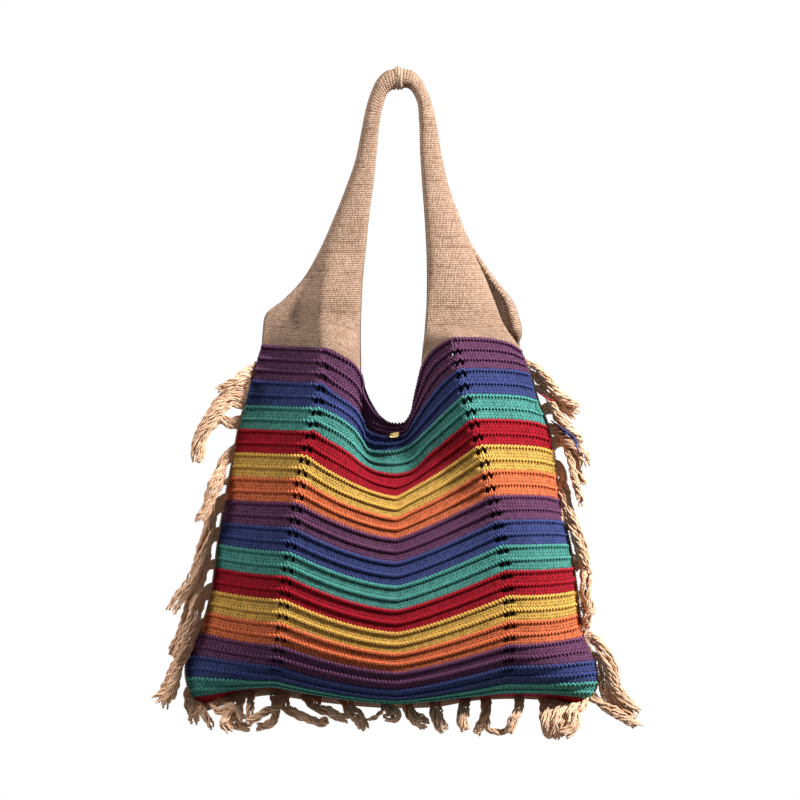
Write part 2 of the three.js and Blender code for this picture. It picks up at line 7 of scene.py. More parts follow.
import bmesh
import bpy
import numpy as np
from bpy.props import FloatProperty, FloatVectorProperty, IntProperty, PointerProperty
from bpy.types import Operator, Panel, PropertyGroup
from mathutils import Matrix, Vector


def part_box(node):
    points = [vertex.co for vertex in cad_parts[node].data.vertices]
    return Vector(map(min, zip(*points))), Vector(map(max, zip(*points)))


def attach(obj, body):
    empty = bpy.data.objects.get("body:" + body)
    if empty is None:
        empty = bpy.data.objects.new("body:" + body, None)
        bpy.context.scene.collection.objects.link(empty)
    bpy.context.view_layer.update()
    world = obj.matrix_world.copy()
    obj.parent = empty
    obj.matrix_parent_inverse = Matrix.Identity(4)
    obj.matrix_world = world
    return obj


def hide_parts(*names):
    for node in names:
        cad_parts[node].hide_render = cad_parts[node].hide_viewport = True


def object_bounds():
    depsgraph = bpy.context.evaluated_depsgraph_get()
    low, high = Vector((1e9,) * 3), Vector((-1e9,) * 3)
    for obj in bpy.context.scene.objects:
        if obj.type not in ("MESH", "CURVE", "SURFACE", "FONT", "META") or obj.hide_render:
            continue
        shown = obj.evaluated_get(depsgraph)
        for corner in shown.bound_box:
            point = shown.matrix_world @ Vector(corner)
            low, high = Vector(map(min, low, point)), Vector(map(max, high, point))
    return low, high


bl_info = {
    "name": "Knitted tote bag",
    "version": (1, 0, 0),
    "blender": (4, 5, 0),
    "location": "3D View > Sidebar > Tote",
    "description": "Makes the cloth, strap, fringe, snap and stage of a knitted tote bag round its solids",
    "category": "Object",
}

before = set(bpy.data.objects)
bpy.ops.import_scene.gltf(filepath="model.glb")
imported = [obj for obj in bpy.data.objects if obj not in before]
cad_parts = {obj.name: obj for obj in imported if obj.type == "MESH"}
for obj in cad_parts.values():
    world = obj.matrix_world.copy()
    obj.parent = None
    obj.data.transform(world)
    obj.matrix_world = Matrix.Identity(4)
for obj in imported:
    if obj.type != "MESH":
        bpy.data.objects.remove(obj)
SOLID_LOW, SOLID_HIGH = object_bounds()
MM = 0.001

# How the picture was taken: a level camera, straight from the front
EYE_X, EYE_Z = 0.0015, -0.3007
EYE_DISTANCE = 2.163
LENS = 100.0
SENSOR = 36.0

# The hanging cloth: its ridged bands, and the shares of its half width out to the lace lines and the strap
BANDS = 33
LACE = 0.59
LOOP = 0.37
LEFT_SAG = 1.6  # how the rows fall from the left lace line to the middle
RIGHT_SAG = (1.05, 1.35)  # the same on the right, at the mouth and at the bottom
SNAP_SAG = 5  # millimetres by which the snap's weight draws the mouth down
HOLLOW = 13  # millimetres by which the cloth falls in left of the snap
MOUTH_FLANK = 1.1  # how full the flanks are at the mouth
# Pairs for the left and the right
SIDE_FALL = (1.8, 3.5)  # how late a row falls on its way to the seam
VALLEY = (0.8, 0.5)  # share of the way to the middle that the valley's slope takes
FRONT_FLANK = (1.45, 2.1)  # how full the flanks are at the belly
BOTTOM_FLANK = (1.2, 1.4)  # how much fuller they are at the bottom
# The back, which is plainer than the front
BACK_FLANK = (1.45, 1.45)
BACK_LACE = (0.84, 0.895)  # its lace lines, left and right, stand further in than the front's
BACK_DROP = 2  # millimetres by which its mouth hangs lower
BACK_BULGE = 11  # millimetres by which it is fuller below the mouth
BACK_FLAT = 0.18  # share by which its belly is flatter
# Guide lines in millimetres as seen from the front, at some of the bands
MARKS = (0, 3, 5, 7, 9, 13, 17, 21, 25, 27, 29, 31, 33)
LEFT_SEAM = ((-133, -143, -149, -155, -159, -168, -175, -181, -193, -204, -206, -199, -188),
             (-247, -281, -306, -329, -352, -398, -441, -486, -527, -548, -570, -590, -596))
LEFT_LACE = ((-70, -74, -78, -84, -90, -98, -105, -111, -115, -118, -119, -120, -120),
             (-251, -285, -309, -332, -355, -401, -449, -495, -539, -558, -571, -578, -580))
MIDDLE = ((-2, -2, -2, -2, -1, -1, -1, -1, -1, -1, -1, -1, -1),
          (-326, -339, -351, -374, -396, -436, -482, -527, -565, -581, -590, -593, -593))
RIGHT_LACE = ((53, 60, 65, 72, 79, 91, 101, 107, 108, 106, 104, 103, 102),
              (-241, -271, -296, -320, -345, -394, -442, -491, -538, -558, -574, -584, -589))
RIGHT_SEAM = ((120, 128, 135, 145, 150, 156, 166, 173, 180, 190, 193, 185, 174),
              (-253, -275, -301, -326, -350, -397, -441, -486, -530, -554, -575, -592, -600))
# Rows under the mouth from each lace line to the middle: its edge, then bands 3, 5 and 7
LEFT_ROWS = (((-70, -56, -45, -40, -36, -30, -20, -9, -2),
              (-251, -258, -266, -274, -288, -301, -317, -325, -326)),
             ((-74, -61, -46, -40, -32, -16, -2), (-285, -297, -308, -316, -329, -337, -339)),
             ((-78, -61, -46, -38, -28, -16, -2), (-308, -317, -329, -340, -350, -352, -351)),
             ((-84, -69, -53, -38, -24, -13, -2), (-330, -340, -351, -364, -371, -373, -374)))
RIGHT_ROWS = (((53, 41, 32, 27, 22, 19, 15, 7, -2), (-241, -248, -256, -264, -283, -297, -315, -325, -326)),
              ((60, 44, 29, 18, 8, -2), (-271, -285, -304, -322, -336, -339)),
              ((65, 46, 29, 10, -2), (-296, -314, -331, -347, -351)),
              ((72, 55, 35, 13, -2), (-320, -334, -351, -371, -374)))
# How far the lace lines and the middle of a panel stand in front of the seams
LEFT_DEPTH = (35, 40, 44, 48, 53, 58, 59, 59, 57, 51, 38, 19, 0)
RIGHT_DEPTH = (44, 51, 55, 58, 60, 61, 61, 61, 59, 53, 40, 20, 0)
MIDDLE_DEPTH = (8, 17, 23, 32, 42, 51, 57, 60, 58, 53, 40, 20, 0)
SEAM_DEPTH = 1.3

# The strap's outer and inner edges from the mouth to the hook
LEFT_OUTER = ((-133, -132, -130, -112, -94, -77, -64, -52, -42, -36, -32, -26, -21, -11, -1),
              (-247, -233, -219, -203, -184, -155, -126, -96, -67, -38, -18, 1, 11, 20, 22))
LEFT_INNER = ((-40, -39, -37, -35, -32, -28, -24, -21, -18, -15, -9, -1),
              (-274, -252, -223, -184, -155, -116, -87, -57, -28, -14, 0, 4))
RIGHT_OUTER = ((117, 109, 102, 93, 83, 74, 66, 61, 50, 43, 38, 34, 28, 22, 13, 1),
               (-252, -238, -226, -203, -178, -159, -141, -126, -96, -67, -38, -18, 1, 12, 20, 22))
RIGHT_BEHIND = ((126, 123, 117, 111, 95, 77, 66, 57, 46, 39, 34, 30, 25, 20, 12, 1),
                (-256, -247, -226, -208, -187, -162, -145, -126, -96, -67, -38, -18, 1, 12, 19, 21))
RIGHT_INNER = ((27, 26, 28, 28, 26, 23, 21, 20, 17, 10, 1),
               (-264, -242, -203, -164, -126, -87, -57, -28, -7, 3, 4))

# Ropes of the fringe: half a rope's width, the top and the low end of its root on the seam, and its way down
LEFT_ROPES = (
    (4, (-137, -261), (-145, -286), (-147, -273), (-158, -282), (-177, -291)),
    (6, (-141, -273), (-148, -303), (-159, -291), (-172, -300), (-182, -313), (-191, -330), (-194, -351)),
    (7, (-145, -289), (-152, -316), (-158, -300), (-174, -310), (-185, -325), (-194, -341), (-196, -361)),
    (5, (-151, -312), (-156, -334), (-163, -323), (-174, -320), (-184, -328), (-191, -340), (-192, -355)),
    (7, (-156, -337), (-162, -367), (-166, -356), (-175, -374), (-182, -393), (-189, -410), (-194, -420)),
    (5, (-161, -369), (-167, -384), (-172, -383), (-180, -398), (-184, -418), (-188, -442), (-192, -468)),
    (7, (-166, -386), (-172, -416), (-175, -403), (-182, -420), (-189, -442), (-195, -461),
     (-203, -481), (-213, -493), (-221, -507)),
    (6, (-173, -420), (-177, -442), (-181, -434), (-186, -452), (-193, -471), (-201, -492),
     (-207, -515), (-213, -532), (-222, -549)),
    (4, (-177, -453), (-180, -468), (-185, -462), (-190, -476), (-197, -493),
     (-203, -515), (-211, -534), (-219, -554)),
    (6, (-180, -474), (-182, -500), (-187, -488), (-194, -503), (-200, -519),
     (-206, -539), (-214, -559), (-218, -585)),
    (5, (-186, -507), (-191, -527), (-194, -522), (-201, -534), (-209, -550), (-217, -567), (-221, -595)),
    (6, (-192, -528), (-198, -544), (-201, -537), (-210, -550), (-218, -563), (-225, -579), (-229, -599)),
    (6, (-200, -544), (-205, -558), (-206, -550), (-215, -561), (-223, -575), (-230, -587), (-237, -592)),
    (6, (-207, -577), (-201, -590), (-205, -587), (-202, -599), (-199, -609), (-199, -616)),
    (5, (-200, -590), (-187, -596), (-195, -597), (-190, -605), (-184, -614), (-180, -620)),
)
RIGHT_ROPES = (
    (5, (120, -258), (127, -268), (135, -269), (145, -280), (154, -293), (167, -303), (176, -310)),
    (6, (126, -268), (132, -283), (140, -283), (150, -295), (160, -305), (173, -316)),
    (4, (132, -284), (136, -294), (141, -293), (149, -304), (157, -318), (166, -330), (180, -340)),
    (6, (138, -303), (144, -319), (147, -309), (154, -314), (161, -322), (169, -332), (175, -340)),
    (6, (145, -321), (148, -338), (153, -330), (163, -337), (172, -345), (180, -354), (183, -364)),
    (4, (148, -338), (150, -346), (156, -338), (165, -345), (172, -357), (176, -373), (181, -382)),
    (4, (149, -345), (151, -352), (159, -343), (166, -356), (170, -373), (175, -389), (179, -404)),
    (6, (151, -354), (154, -381), (157, -368), (160, -384), (162, -401), (159, -418), (157, -427)),
    (6, (154, -381), (158, -406), (162, -390), (166, -407), (170, -420), (176, -437),
     (180, -453), (183, -470)),
    (5, (159, -408), (164, -435), (166, -419), (171, -433), (177, -447), (182, -463), (185, -484)),
    (6, (168, -445), (174, -473), (177, -457), (182, -474), (183, -491), (186, -505), (184, -516)),
    (6, (175, -481), (179, -509), (181, -494), (184, -505), (182, -517), (180, -528)),
    (8, (180, -521), (184, -540), (188, -532), (199, -545), (206, -563), (212, -583),
     (222, -596), (233, -606)),
    (7, (184, -540), (192, -558), (194, -550), (200, -566), (202, -583), (212, -599), (231, -612)),
    (6, (188, -581), (183, -592), (196, -595), (208, -603), (221, -611), (235, -619)),
)
BOTTOM_ROPES = (
    (4, (-185, -595), (-176, -596), (-180, -601), (-172, -604), (-164, -599), (-156, -604), (-153, -614)),
    (5, (-172, -594), (-158, -594), (-165, -601), (-167, -610), (-170, -616), (-162, -623)),
    (5, (-158, -593), (-148, -593), (-156, -603), (-162, -611), (-156, -617), (-144, -620)),
    (4, (-146, -591), (-140, -591), (-144, -600), (-145, -608), (-150, -613)),
    (4, (-119, -592), (-109, -592), (-119, -599), (-129, -604), (-139, -610), (-148, -615)),
    (4, (-125, -593), (-117, -593), (-119, -604), (-122, -613), (-129, -618), (-138, -619)),
    (5, (-117, -592), (-106, -593), (-110, -600), (-101, -605), (-88, -610), (-77, -615), (-68, -612)),
    (5, (-96, -594), (-74, -595), (-80, -600), (-69, -603), (-59, -608), (-49, -612)),
    (7, (-61, -595), (-45, -595), (-47, -602), (-39, -609), (-35, -616), (-32, -622)),
    (2, (-22, -595), (-14, -595), (-14, -601), (-20, -608), (-30, -613)),
    (6, (-14, -595), (0, -596), (-10, -601), (-3, -607), (-14, -611)),
    (7, (3, -596), (15, -596), (11, -603), (18, -611), (28, -618)),
    (7, (29, -595), (42, -594), (36, -603), (39, -613), (46, -622)),
    (6, (58, -594), (70, -593), (64, -603), (62, -613), (66, -622)),
    (5, (79, -593), (91, -592), (85, -604), (81, -616), (75, -625)),
    (3, (83, -594), (89, -593), (86, -608), (88, -621), (97, -624), (109, -622)),
    (5, (112, -589), (124, -590), (117, -600), (111, -613), (107, -625)),
    (7, (136, -594), (153, -596), (144, -606), (145, -618), (151, -628)),
    (8, (151, -596), (169, -598), (157, -607), (155, -619), (154, -630)),
    (7, (167, -598), (181, -595), (170, -606), (170, -616), (159, -627)),
    (3, (186, -590), (179, -596), (181, -598), (174, -603), (168, -606)),
)
# Two stray yarn ends that were knotted in with the right fringe: their routes in millimetres
STRAYS = {
    "stray_red": [[(135, 2, -292), (142, -12, -298), (147, -15, -301), (151, -16, -301)]],
    "stray_navy": [[(149, 2, -321), (158, -13, -328), (168, -16, -335), (172, -16, -341), (176, -15, -347)],
                   [(152, 3, -325), (162, -12, -333), (169, -16, -338), (174, -17, -351)]],
}

# Lines and grids of numbers


def lerp(a, b, t):
    return a + (b - a) * t


def ease(t, low, high):
    """0 below low, 1 above high, and a smooth step between them."""
    s = np.clip((np.asarray(t, float) - low) / (high - low), 0, 1)
    return s * s * (3 - 2 * s)


def hump(t, low, full, fading, end):
    """0 below low and above end, and 1 from full to fading."""
    return ease(t, low, full) * (1 - ease(t, fading, end))


def swell(t, power):
    """From 0 to 1, fastest at the start."""
    return 1 - (1 - np.clip(t, 0, 1)) ** power


def unit(vectors):
    return vectors / np.linalg.norm(vectors, axis=-1, keepdims=True)


def facing(behind):
    return np.array([0.0, 1.0 if behind else -1.0, 0.0])


def through(marks, values, t):
    """A smooth line through values at marks, read at t. Values may be grids, one for each mark."""
    marks, values, t = (np.asarray(v, float) for v in (marks, values, t))
    slope = np.gradient(values, marks, axis=0)
    k = np.clip(np.searchsorted(marks, t, side="right") - 1, 0, len(marks) - 2)

    def at(grid, index):
        return grid[index] if values.ndim == 1 else np.take_along_axis(grid, index[None], axis=0)[0]

    width = marks[k + 1] - marks[k]
    f = (t - marks[k]) / width
    rise = (2 * f**3 - 3 * f**2 + 1) * at(values, k) + (3 * f**2 - 2 * f**3) * at(values, k + 1)
    return rise + width * ((f**3 - 2 * f**2 + f) * at(slope, k) + (f**3 - f**2) * at(slope, k + 1))


def measured(points):
    """The length of a line of points up to each of them."""
    steps = np.linalg.norm(np.diff(points, axis=0), axis=1)
    return np.concatenate([[0], np.cumsum(steps)])


def by_length(line):
    """Marks from 0 to 1 along a line's points by its length."""
    run = measured(np.transpose(line))
    return run / run[-1]


def along(line, share):
    marks = by_length(line)
    return through(marks, line[0], share), through(marks, line[1], share)


def read_at(places, marks, points):
    """Points between given ones, at places among their marks."""
    return np.stack([np.interp(places, marks, points[:, k]) for k in range(3)], axis=1)


def evened(rows, reach):
    """A running mean over the rows as far as reach to each side."""
    ends = [(reach, reach)] + [(0, 0)] * (rows.ndim - 1)
    padded = np.pad(rows, ends, mode="edge")
    return np.mean([padded[k:k + len(rows)] for k in range(2 * reach + 1)], axis=0)


def placed(x, depth, z, behind=False):
    """Points in metres from millimetres as seen from the front; what stands nearer to the eye is drawn in."""
    near = 1 - depth * MM / EYE_DISTANCE
    x = EYE_X + (x * MM - EYE_X) * near
    z = EYE_Z + (z * MM - EYE_Z) * near
    y = depth * MM * (1 if behind else -1)
    return np.stack(np.broadcast_arrays(x, y, z), axis=-1)


# The hanging cloth


def inner_row(k, lace, drawn, sag, inner):
    """A row from a lace line to the middle at the marked band k."""
    if k < len(drawn):
        return along(drawn[k], inner)
    return lerp(lace[0][k], MIDDLE[0][k], inner), lerp(lace[1][k], MIDDLE[1][k], swell(inner, sag))


def cloth(across, band, behind=False):
    """Points of a panel's inner face: across is -1 at the left seam and 1 at the right one."""
    across, band = np.broadcast_arrays(np.asarray(across, float), np.asarray(band, float))
    side = np.abs(across)
    on_side = side >= LACE
    outer = np.clip((side - LACE) / (1 - LACE), 0, 1)
    inner = np.clip(1 - side / LACE, 0, 1)

    def sided(left, right):
        return np.where(across > 0, right, left)

    def guide(left, right):
        return sided(through(MARKS, left, band), through(MARKS, right, band))

    # The view from the front
    seam_x, seam_z = (guide(*pair) for pair in zip(LEFT_SEAM, RIGHT_SEAM))
    lace_x, lace_z = (guide(*pair) for pair in zip(LEFT_LACE, RIGHT_LACE))
    rows = []
    for k, mark in enumerate(MARKS):
        left = inner_row(k, LEFT_LACE, LEFT_ROWS, LEFT_SAG, inner)
        right = inner_row(k, RIGHT_LACE, RIGHT_ROWS, lerp(*RIGHT_SAG, mark / BANDS), inner)
        rows.append([sided(*pair) for pair in zip(left, right)])
    inner_x, inner_z = (through(MARKS, line, band) for line in zip(*rows))
    if behind:
        inset = sided(*BACK_LACE)
        lace_x = lace_x * inset
        inner_x = inner_x * lerp(inset, 1, ease(inner, 0, 0.34) * (1 - ease(band, 3, 9)))
        inner_z = inner_z - BACK_DROP * inner**2 * (1 - ease(band, 0, 7))
    x = np.where(on_side, lerp(lace_x, seam_x, outer), inner_x)
    z = np.where(on_side, lerp(lace_z, seam_z, outer ** sided(*SIDE_FALL)), inner_z)

    # The depth: a valley between the lace lines, and flanks that fall to the seams
    lace_depth = guide(LEFT_DEPTH, RIGHT_DEPTH)
    middle_depth = through(MARKS, MIDDLE_DEPTH, band)
    at_mouth = sided(ease(inner, 0.12, 0.5), swell(inner / 0.9, 1.25))
    valley = lerp(at_mouth, swell(inner / sided(*VALLEY), 1.7), ease(band, 6, 11))
    belly = sided(*(BACK_FLANK if behind else FRONT_FLANK))
    flank = lerp(MOUTH_FLANK, belly, ease(band, sided(12, 10), sided(26, 18)))
    flank = flank + sided(*BOTTOM_FLANK) * ease(band, sided(26, 24), sided(30, 28))
    fallen = 1 - outer**flank
    folded = np.clip((1 - outer) / 0.93, 0, 1) ** 1.6
    fallen = sided(lerp(folded, fallen, ease(band, 3, 11)), fallen)
    if behind:
        middle_depth = middle_depth + BACK_BULGE * hump(band, 0, 4, 6, 13)
    depth = np.where(on_side, lace_depth * fallen, lerp(lace_depth, middle_depth, valley))
    if behind:
        depth = depth * (1 - BACK_FLAT * ease(band, 21, 28))
    else:
        hollow = sided(hump(inner, 0.36, 0.62, 0.6, 1), 0)
        depth = depth - HOLLOW * hollow * hump(band, 0, 2, 5, 9)
    return placed(x, SEAM_DEPTH + depth, z, behind)


def cloth_out(across, band, behind=False):
    """The way out of the cloth. Towards the seams it points straight to the front or back."""
    across, band = np.broadcast_arrays(np.asarray(across, float), np.asarray(band, float))
    step, drop = 0.012, 0.35
    left, right = np.clip(across - step, -1, 1), np.clip(across + step, -1, 1)
    high, low = np.clip(band - drop, 0, BANDS), np.clip(band + drop, 0, BANDS)
    sideways = cloth(right, band, behind) - cloth(left, band, behind)
    normal = np.cross(cloth(across, low, behind) - cloth(across, high, behind), sideways)
    ahead = facing(behind)
    normal = unit(normal * np.sign(normal @ ahead)[..., None])
    at_seam = np.maximum(ease(np.abs(across), 0.9, 1), ease(band, BANDS - 2, BANDS))
    return unit(lerp(normal, ahead, at_seam[..., None]))


# Meshes


def new_object(name, mesh):
    made = bpy.data.objects.new(name, mesh)
    bpy.context.scene.collection.objects.link(made)
    return made


def closed(mesh):
    """Drops a mesh's loose points, turns its faces outwards and shades them smooth."""
    work = bmesh.new()
    work.from_mesh(mesh)
    bmesh.ops.delete(work, geom=[v for v in work.verts if not v.link_faces], context="VERTS")
    bmesh.ops.recalc_face_normals(work, faces=work.faces)
    work.to_mesh(mesh)
    work.free()
    mesh.shade_smooth()
    return mesh


def sheet(name, outer, inner, uv, keep=None):
    """A closed sheet from two grids of points. Cells that keep leaves out become holes."""
    rows, columns = outer.shape[:2]
    keep = np.ones((rows - 1, columns - 1), bool) if keep is None else keep
    count = rows * columns
    top = np.arange(count).reshape(rows, columns)
    cells = np.stack([top[:-1, :-1], top[1:, :-1], top[1:, 1:], top[:-1, 1:]], axis=-1)[keep]
    quads = [cells, cells[:, ::-1] + count]
    padded = np.pad(keep, 1)
    rims = ((padded[:-1, 1:-1] != padded[1:, 1:-1], top[:, :-1], top[:, 1:]),
            (padded[1:-1, :-1] != padded[1:-1, 1:], top[:-1], top[1:]))
    for rim, start, end in rims:
        quads.append(np.stack([start[rim], end[rim], end[rim] + count, start[rim] + count], axis=-1))
    points = np.concatenate([outer.reshape(-1, 3), inner.reshape(-1, 3)])
    mesh = bpy.data.meshes.new(name)
    mesh.from_pydata(points.tolist(), [], np.concatenate(quads).tolist())
    corners = np.zeros(len(mesh.loops), np.int32)
    mesh.loops.foreach_get("vertex_index", corners)
    flat = uv.reshape(-1, 2)[corners % count]
    mesh.uv_layers.new(name="stitch").data.foreach_set("uv", flat.astype(np.float32).ravel())
    return closed(mesh)


def turned(name, profile, centre, axis, sides=40):
    """A turned piece from radii and heights in millimetres, standing on centre along axis."""
    points, faces = [], []
    turn = Vector((0, 0, 1)).rotation_difference(Vector(axis))
    for radius, height in profile:
        for s in range(sides if radius else 1):
            angle = 2 * math.pi * s / sides
            local = Vector((radius * math.cos(angle), radius * math.sin(angle), height)) * MM
            points.append(tuple(Vector(centre) + turn @ local))
    low = 0
    counts = [sides if radius else 1 for radius, _ in profile]
    for count, next_count in zip(counts, counts[1:]):
        high = low + count
        for s in range(sides):
            under = (low + s % count, low + (s + 1) % count)
            over = (high + (s + 1) % next_count, high + s % next_count)
            faces.append(tuple(dict.fromkeys(under + over)))
        low = high
    mesh = bpy.data.meshes.new(name)
    mesh.from_pydata(points, [], faces)
    return closed(mesh)


class Guide:
    """Lines for a yarn tree to follow, whose points carry values."""

    def __init__(self):
        self.paths = []
        self.held = {}

    def add(self, path, **values):
        """One more line. A value is a number or a vector, for the whole line or for each point."""
        self.paths.append(path)
        for key, value in values.items():
            shape = path.shape if np.shape(value)[-1:] == (3,) else len(path)
            self.held.setdefault(key, []).append(np.broadcast_to(value, shape))

    def mesh(self, name):
        edges, at = [], 0
        for path in self.paths:
            edges += [(at + k, at + k + 1) for k in range(len(path) - 1)]
            at += len(path)
        mesh = bpy.data.meshes.new(name)
        mesh.from_pydata(np.concatenate(self.paths).tolist(), edges, [])
        for key, values in self.held.items():
            values = np.concatenate(values).astype(np.float32)
            kind, field = ("FLOAT", "value") if values.ndim == 1 else ("FLOAT_VECTOR", "vector")
            mesh.attributes.new(key, kind, "POINT").data.foreach_set(field, values.ravel())
        return mesh


# Node trees


class Wire:
    """An output of a node. Arithmetic with it adds math nodes to its tree."""

    def __init__(self, weave, socket):
        self.weave = weave
        self.socket = socket

    def math(self, operation, *others):
        return self.weave.math(operation, self, *others)

    def __rsub__(self, other):
        return self.weave.math("SUBTRACT", other, self)

    __add__ = partialmethod(math, "ADD")
    __sub__ = partialmethod(math, "SUBTRACT")
    __mul__ = partialmethod(math, "MULTIPLY")
    __truediv__ = partialmethod(math, "DIVIDE")
    __pow__ = partialmethod(math, "POWER")
    __abs__ = partialmethod(math, "ABSOLUTE")
    at_least = partialmethod(math, "MAXIMUM")
    at_most = partialmethod(math, "MINIMUM")
    sine = partialmethod(math, "SINE")
    cosine = partialmethod(math, "COSINE")
    floor = partialmethod(math, "FLOOR")
    fraction = partialmethod(math, "FRACT")


class Weaver:
    """Adds nodes to a tree and links them in short lines. A value in place of a wire is typed in."""

    def __init__(self, tree):
        self.tree = tree

    def feed(self, socket, value):
        if isinstance(value, Wire):
            self.tree.links.new(value.socket, socket)
        else:
            socket.default_value = value

    def node(self, kind, inputs=None, **settings):
        made = self.tree.nodes.new(kind)
        for key, value in settings.items():
            setattr(made, key, value)
        for key, value in (inputs or {}).items():
            self.feed(next(s for s in made.inputs if s.enabled and key in (s.name, s.identifier)), value)
        return made

    def wires(self, node):
        """A node's outputs by name."""
        return {s.name: Wire(self, s) for s in node.outputs if s.enabled}

    def read(self, kind, output, inputs=None, **settings):
        """One output of a new node."""
        return self.wires(self.node(kind, inputs, **settings))[output]

    def math(self, operation, *values):
        made = self.node("ShaderNodeMath", operation=operation)
        for socket, value in zip(made.inputs, values):
            self.feed(socket, value)
        return Wire(self, made.outputs[0])

    def vector(self, operation, a, b):
        pair = {"Vector": a, "Vector_001": b}
        return self.read("ShaderNodeVectorMath", "Vector", pair, operation=operation)

    def named(self, name, kind="FLOAT"):
        return self.read("GeometryNodeInputNamedAttribute", "Attribute", {"Name": name}, data_type=kind)

    def towards(self, name, length):
        """A step of some length in a direction that the guide's points carry."""
        step = {"Vector": self.named(name, "FLOAT_VECTOR"), "Scale": length}
        return self.read("ShaderNodeVectorMath", "Vector", step, operation="SCALE")

    def ended(self, outputs):
        """Ends a node group and gives its tree."""
        self.node("NodeGroupOutput", outputs)
        return self.tree


# What a socket of a node group carries, where that isn't a plain number
CARRIES = {"Geometry": "NodeSocketGeometry", "Material": "NodeSocketMaterial", "Color": "NodeSocketColor",
           "Sides": "NodeSocketInt", "Seed": "NodeSocketInt"}


def new_tree(name, kind, inputs, outputs):
    """A node group with named sockets: its weaver and the wires given to it."""
    tree = bpy.data.node_groups.new(name, kind)
    for way, keys in (("INPUT", inputs), ("OUTPUT", outputs)):
        for key in keys:
            tree.interface.new_socket(key, in_out=way, socket_type=CARRIES.get(key, "NodeSocketFloat"))
    weave = Weaver(tree)
    return weave, weave.wires(tree.nodes.new("NodeGroupInput"))


def yarn_tree(name, *sizes):
    """A geometry tree that starts with a guide's lines as curves."""
    inputs = ("Geometry", *sizes, "Yarn radius", "Sides", "Material")
    weave, given = new_tree(name, "GeometryNodeTree", inputs, ("Geometry",))
    return weave, given, weave.read("GeometryNodeMeshToCurve", "Curve", {"Mesh": given["Geometry"]})


def spun(weave, given, curve):
    """Ends a tree: the curve becomes closed yarn in its material, with its length and girth as attributes."""

    def stored(line, name, measure):
        value = weave.read("GeometryNodeSplineParameter", measure)
        inputs = {"Geometry": line, "Name": name, "Value": value}
        return weave.read("GeometryNodeStoreNamedAttribute", "Geometry", inputs, data_type="FLOAT",
                          domain="POINT")

    size = {"Resolution": given["Sides"], "Radius": given["Yarn radius"]}
    ring = weave.read("GeometryNodeCurvePrimitiveCircle", "Curve", size, mode="RADIUS")
    rails = {"Curve": stored(curve, "run_length", "Length"), "Profile Curve": stored(ring, "girth", "Factor")}
    skin = weave.read("GeometryNodeCurveToMesh", "Mesh", {**rails, "Fill Caps": True})
    smooth = weave.read("GeometryNodeSetShadeSmooth", "Geometry", {"Geometry": skin})
    real = weave.read("GeometryNodeRealizeInstances", "Geometry", {"Geometry": smooth})
    finish = {"Geometry": real, "Material": given["Material"]}
    return weave.ended({"Geometry": weave.read("GeometryNodeSetMaterial", "Geometry", finish)})


def wavy_yarn_tree():
    """A yarn that snakes along each line, once for each stitch."""
    weave, given, curve = yarn_tree("Wavy yarn", "Wave", "Lift", "Swell")
    phase = weave.named("stitch") * (2 * math.pi)
    sway = weave.towards("down", phase.sine() * given["Wave"])
    rise = weave.towards("out", given["Lift"] + phase.cosine() * given["Swell"])
    moves = {"Geometry": curve, "Offset": weave.vector("ADD", sway, rise)}
    return spun(weave, given, weave.read("GeometryNodeSetPosition", "Geometry", moves))


def bundle_tree():
    """Strands that leave the seam side by side and run together into a rope round each line."""
    weave, given, curve = yarn_tree("Yarn bundle", "Twist", "Uneven", "Kink", "Kink length", "Seed")
    count, share = weave.named("strands"), weave.named("share")
    copies = {"Geometry": curve, "Amount": count}
    many = weave.wires(weave.node("GeometryNodeDuplicateElements", copies, domain="SPLINE"))
    which = weave.read("GeometryNodeCurveOfPoint", "Curve Index")

    def chance(low, high, salt):
        inputs = {"Min": low, "Max": high, "ID": which, "Seed": given["Seed"] + salt}
        return weave.read("FunctionNodeRandomValue", "Value", inputs, data_type="FLOAT")

    # A strand's place along the rope's root, from -1 to 1, and how far the strands are still apart
    place = (many["Duplicate Index"] + chance(0.1, 0.9, 1)) / count * 2 - 1
    apart = (1 - share * 2.4).at_least(0) ** 1.4
    offset = weave.towards("seam", place * apart)
    # Its place round the gathered rope, and the kinks along it
    layer = chance(-1.0, 1.0, 2).math("SIGN")
    angle = (1 - place) * (math.pi / 2) * layer + share * given["Twist"] * chance(0.9, 1.1, 3)
    spread = weave.named("half") * chance(0.45, 1.0, 4) * (1 - apart)
    turns = weave.read("GeometryNodeSplineParameter", "Length") / given["Kink length"]
    wave = turns * (2 * math.pi) * chance(0.85, 1.15, 5) + chance(0.0, 2.5, 6)
    for side, turn, flat in (("side_a", Wire.cosine, 1.0), ("side_b", Wire.sine, 0.75)):
        wound = spread * turn(angle) * flat
        offset = weave.vector("ADD", offset, weave.towards(side, turn(wave) * given["Kink"] + wound))
    # Uneven ends that thin out
    reach = chance(-1.0, 0.2, 7) * given["Uneven"] * share**2
    offset = weave.vector("ADD", offset, weave.towards("run", reach))
    moves = {"Geometry": many["Geometry"], "Offset": offset}
    moved = weave.read("GeometryNodeSetPosition", "Geometry", moves)
    thick = (1 - (share - 0.88).at_least(0) * 5) * chance(0.8, 1.2, 8)
    tapered = {"Curve": moved, "Radius": thick}
    return spun(weave, given, weave.read("GeometryNodeSetCurveRadius", "Curve", tapered))


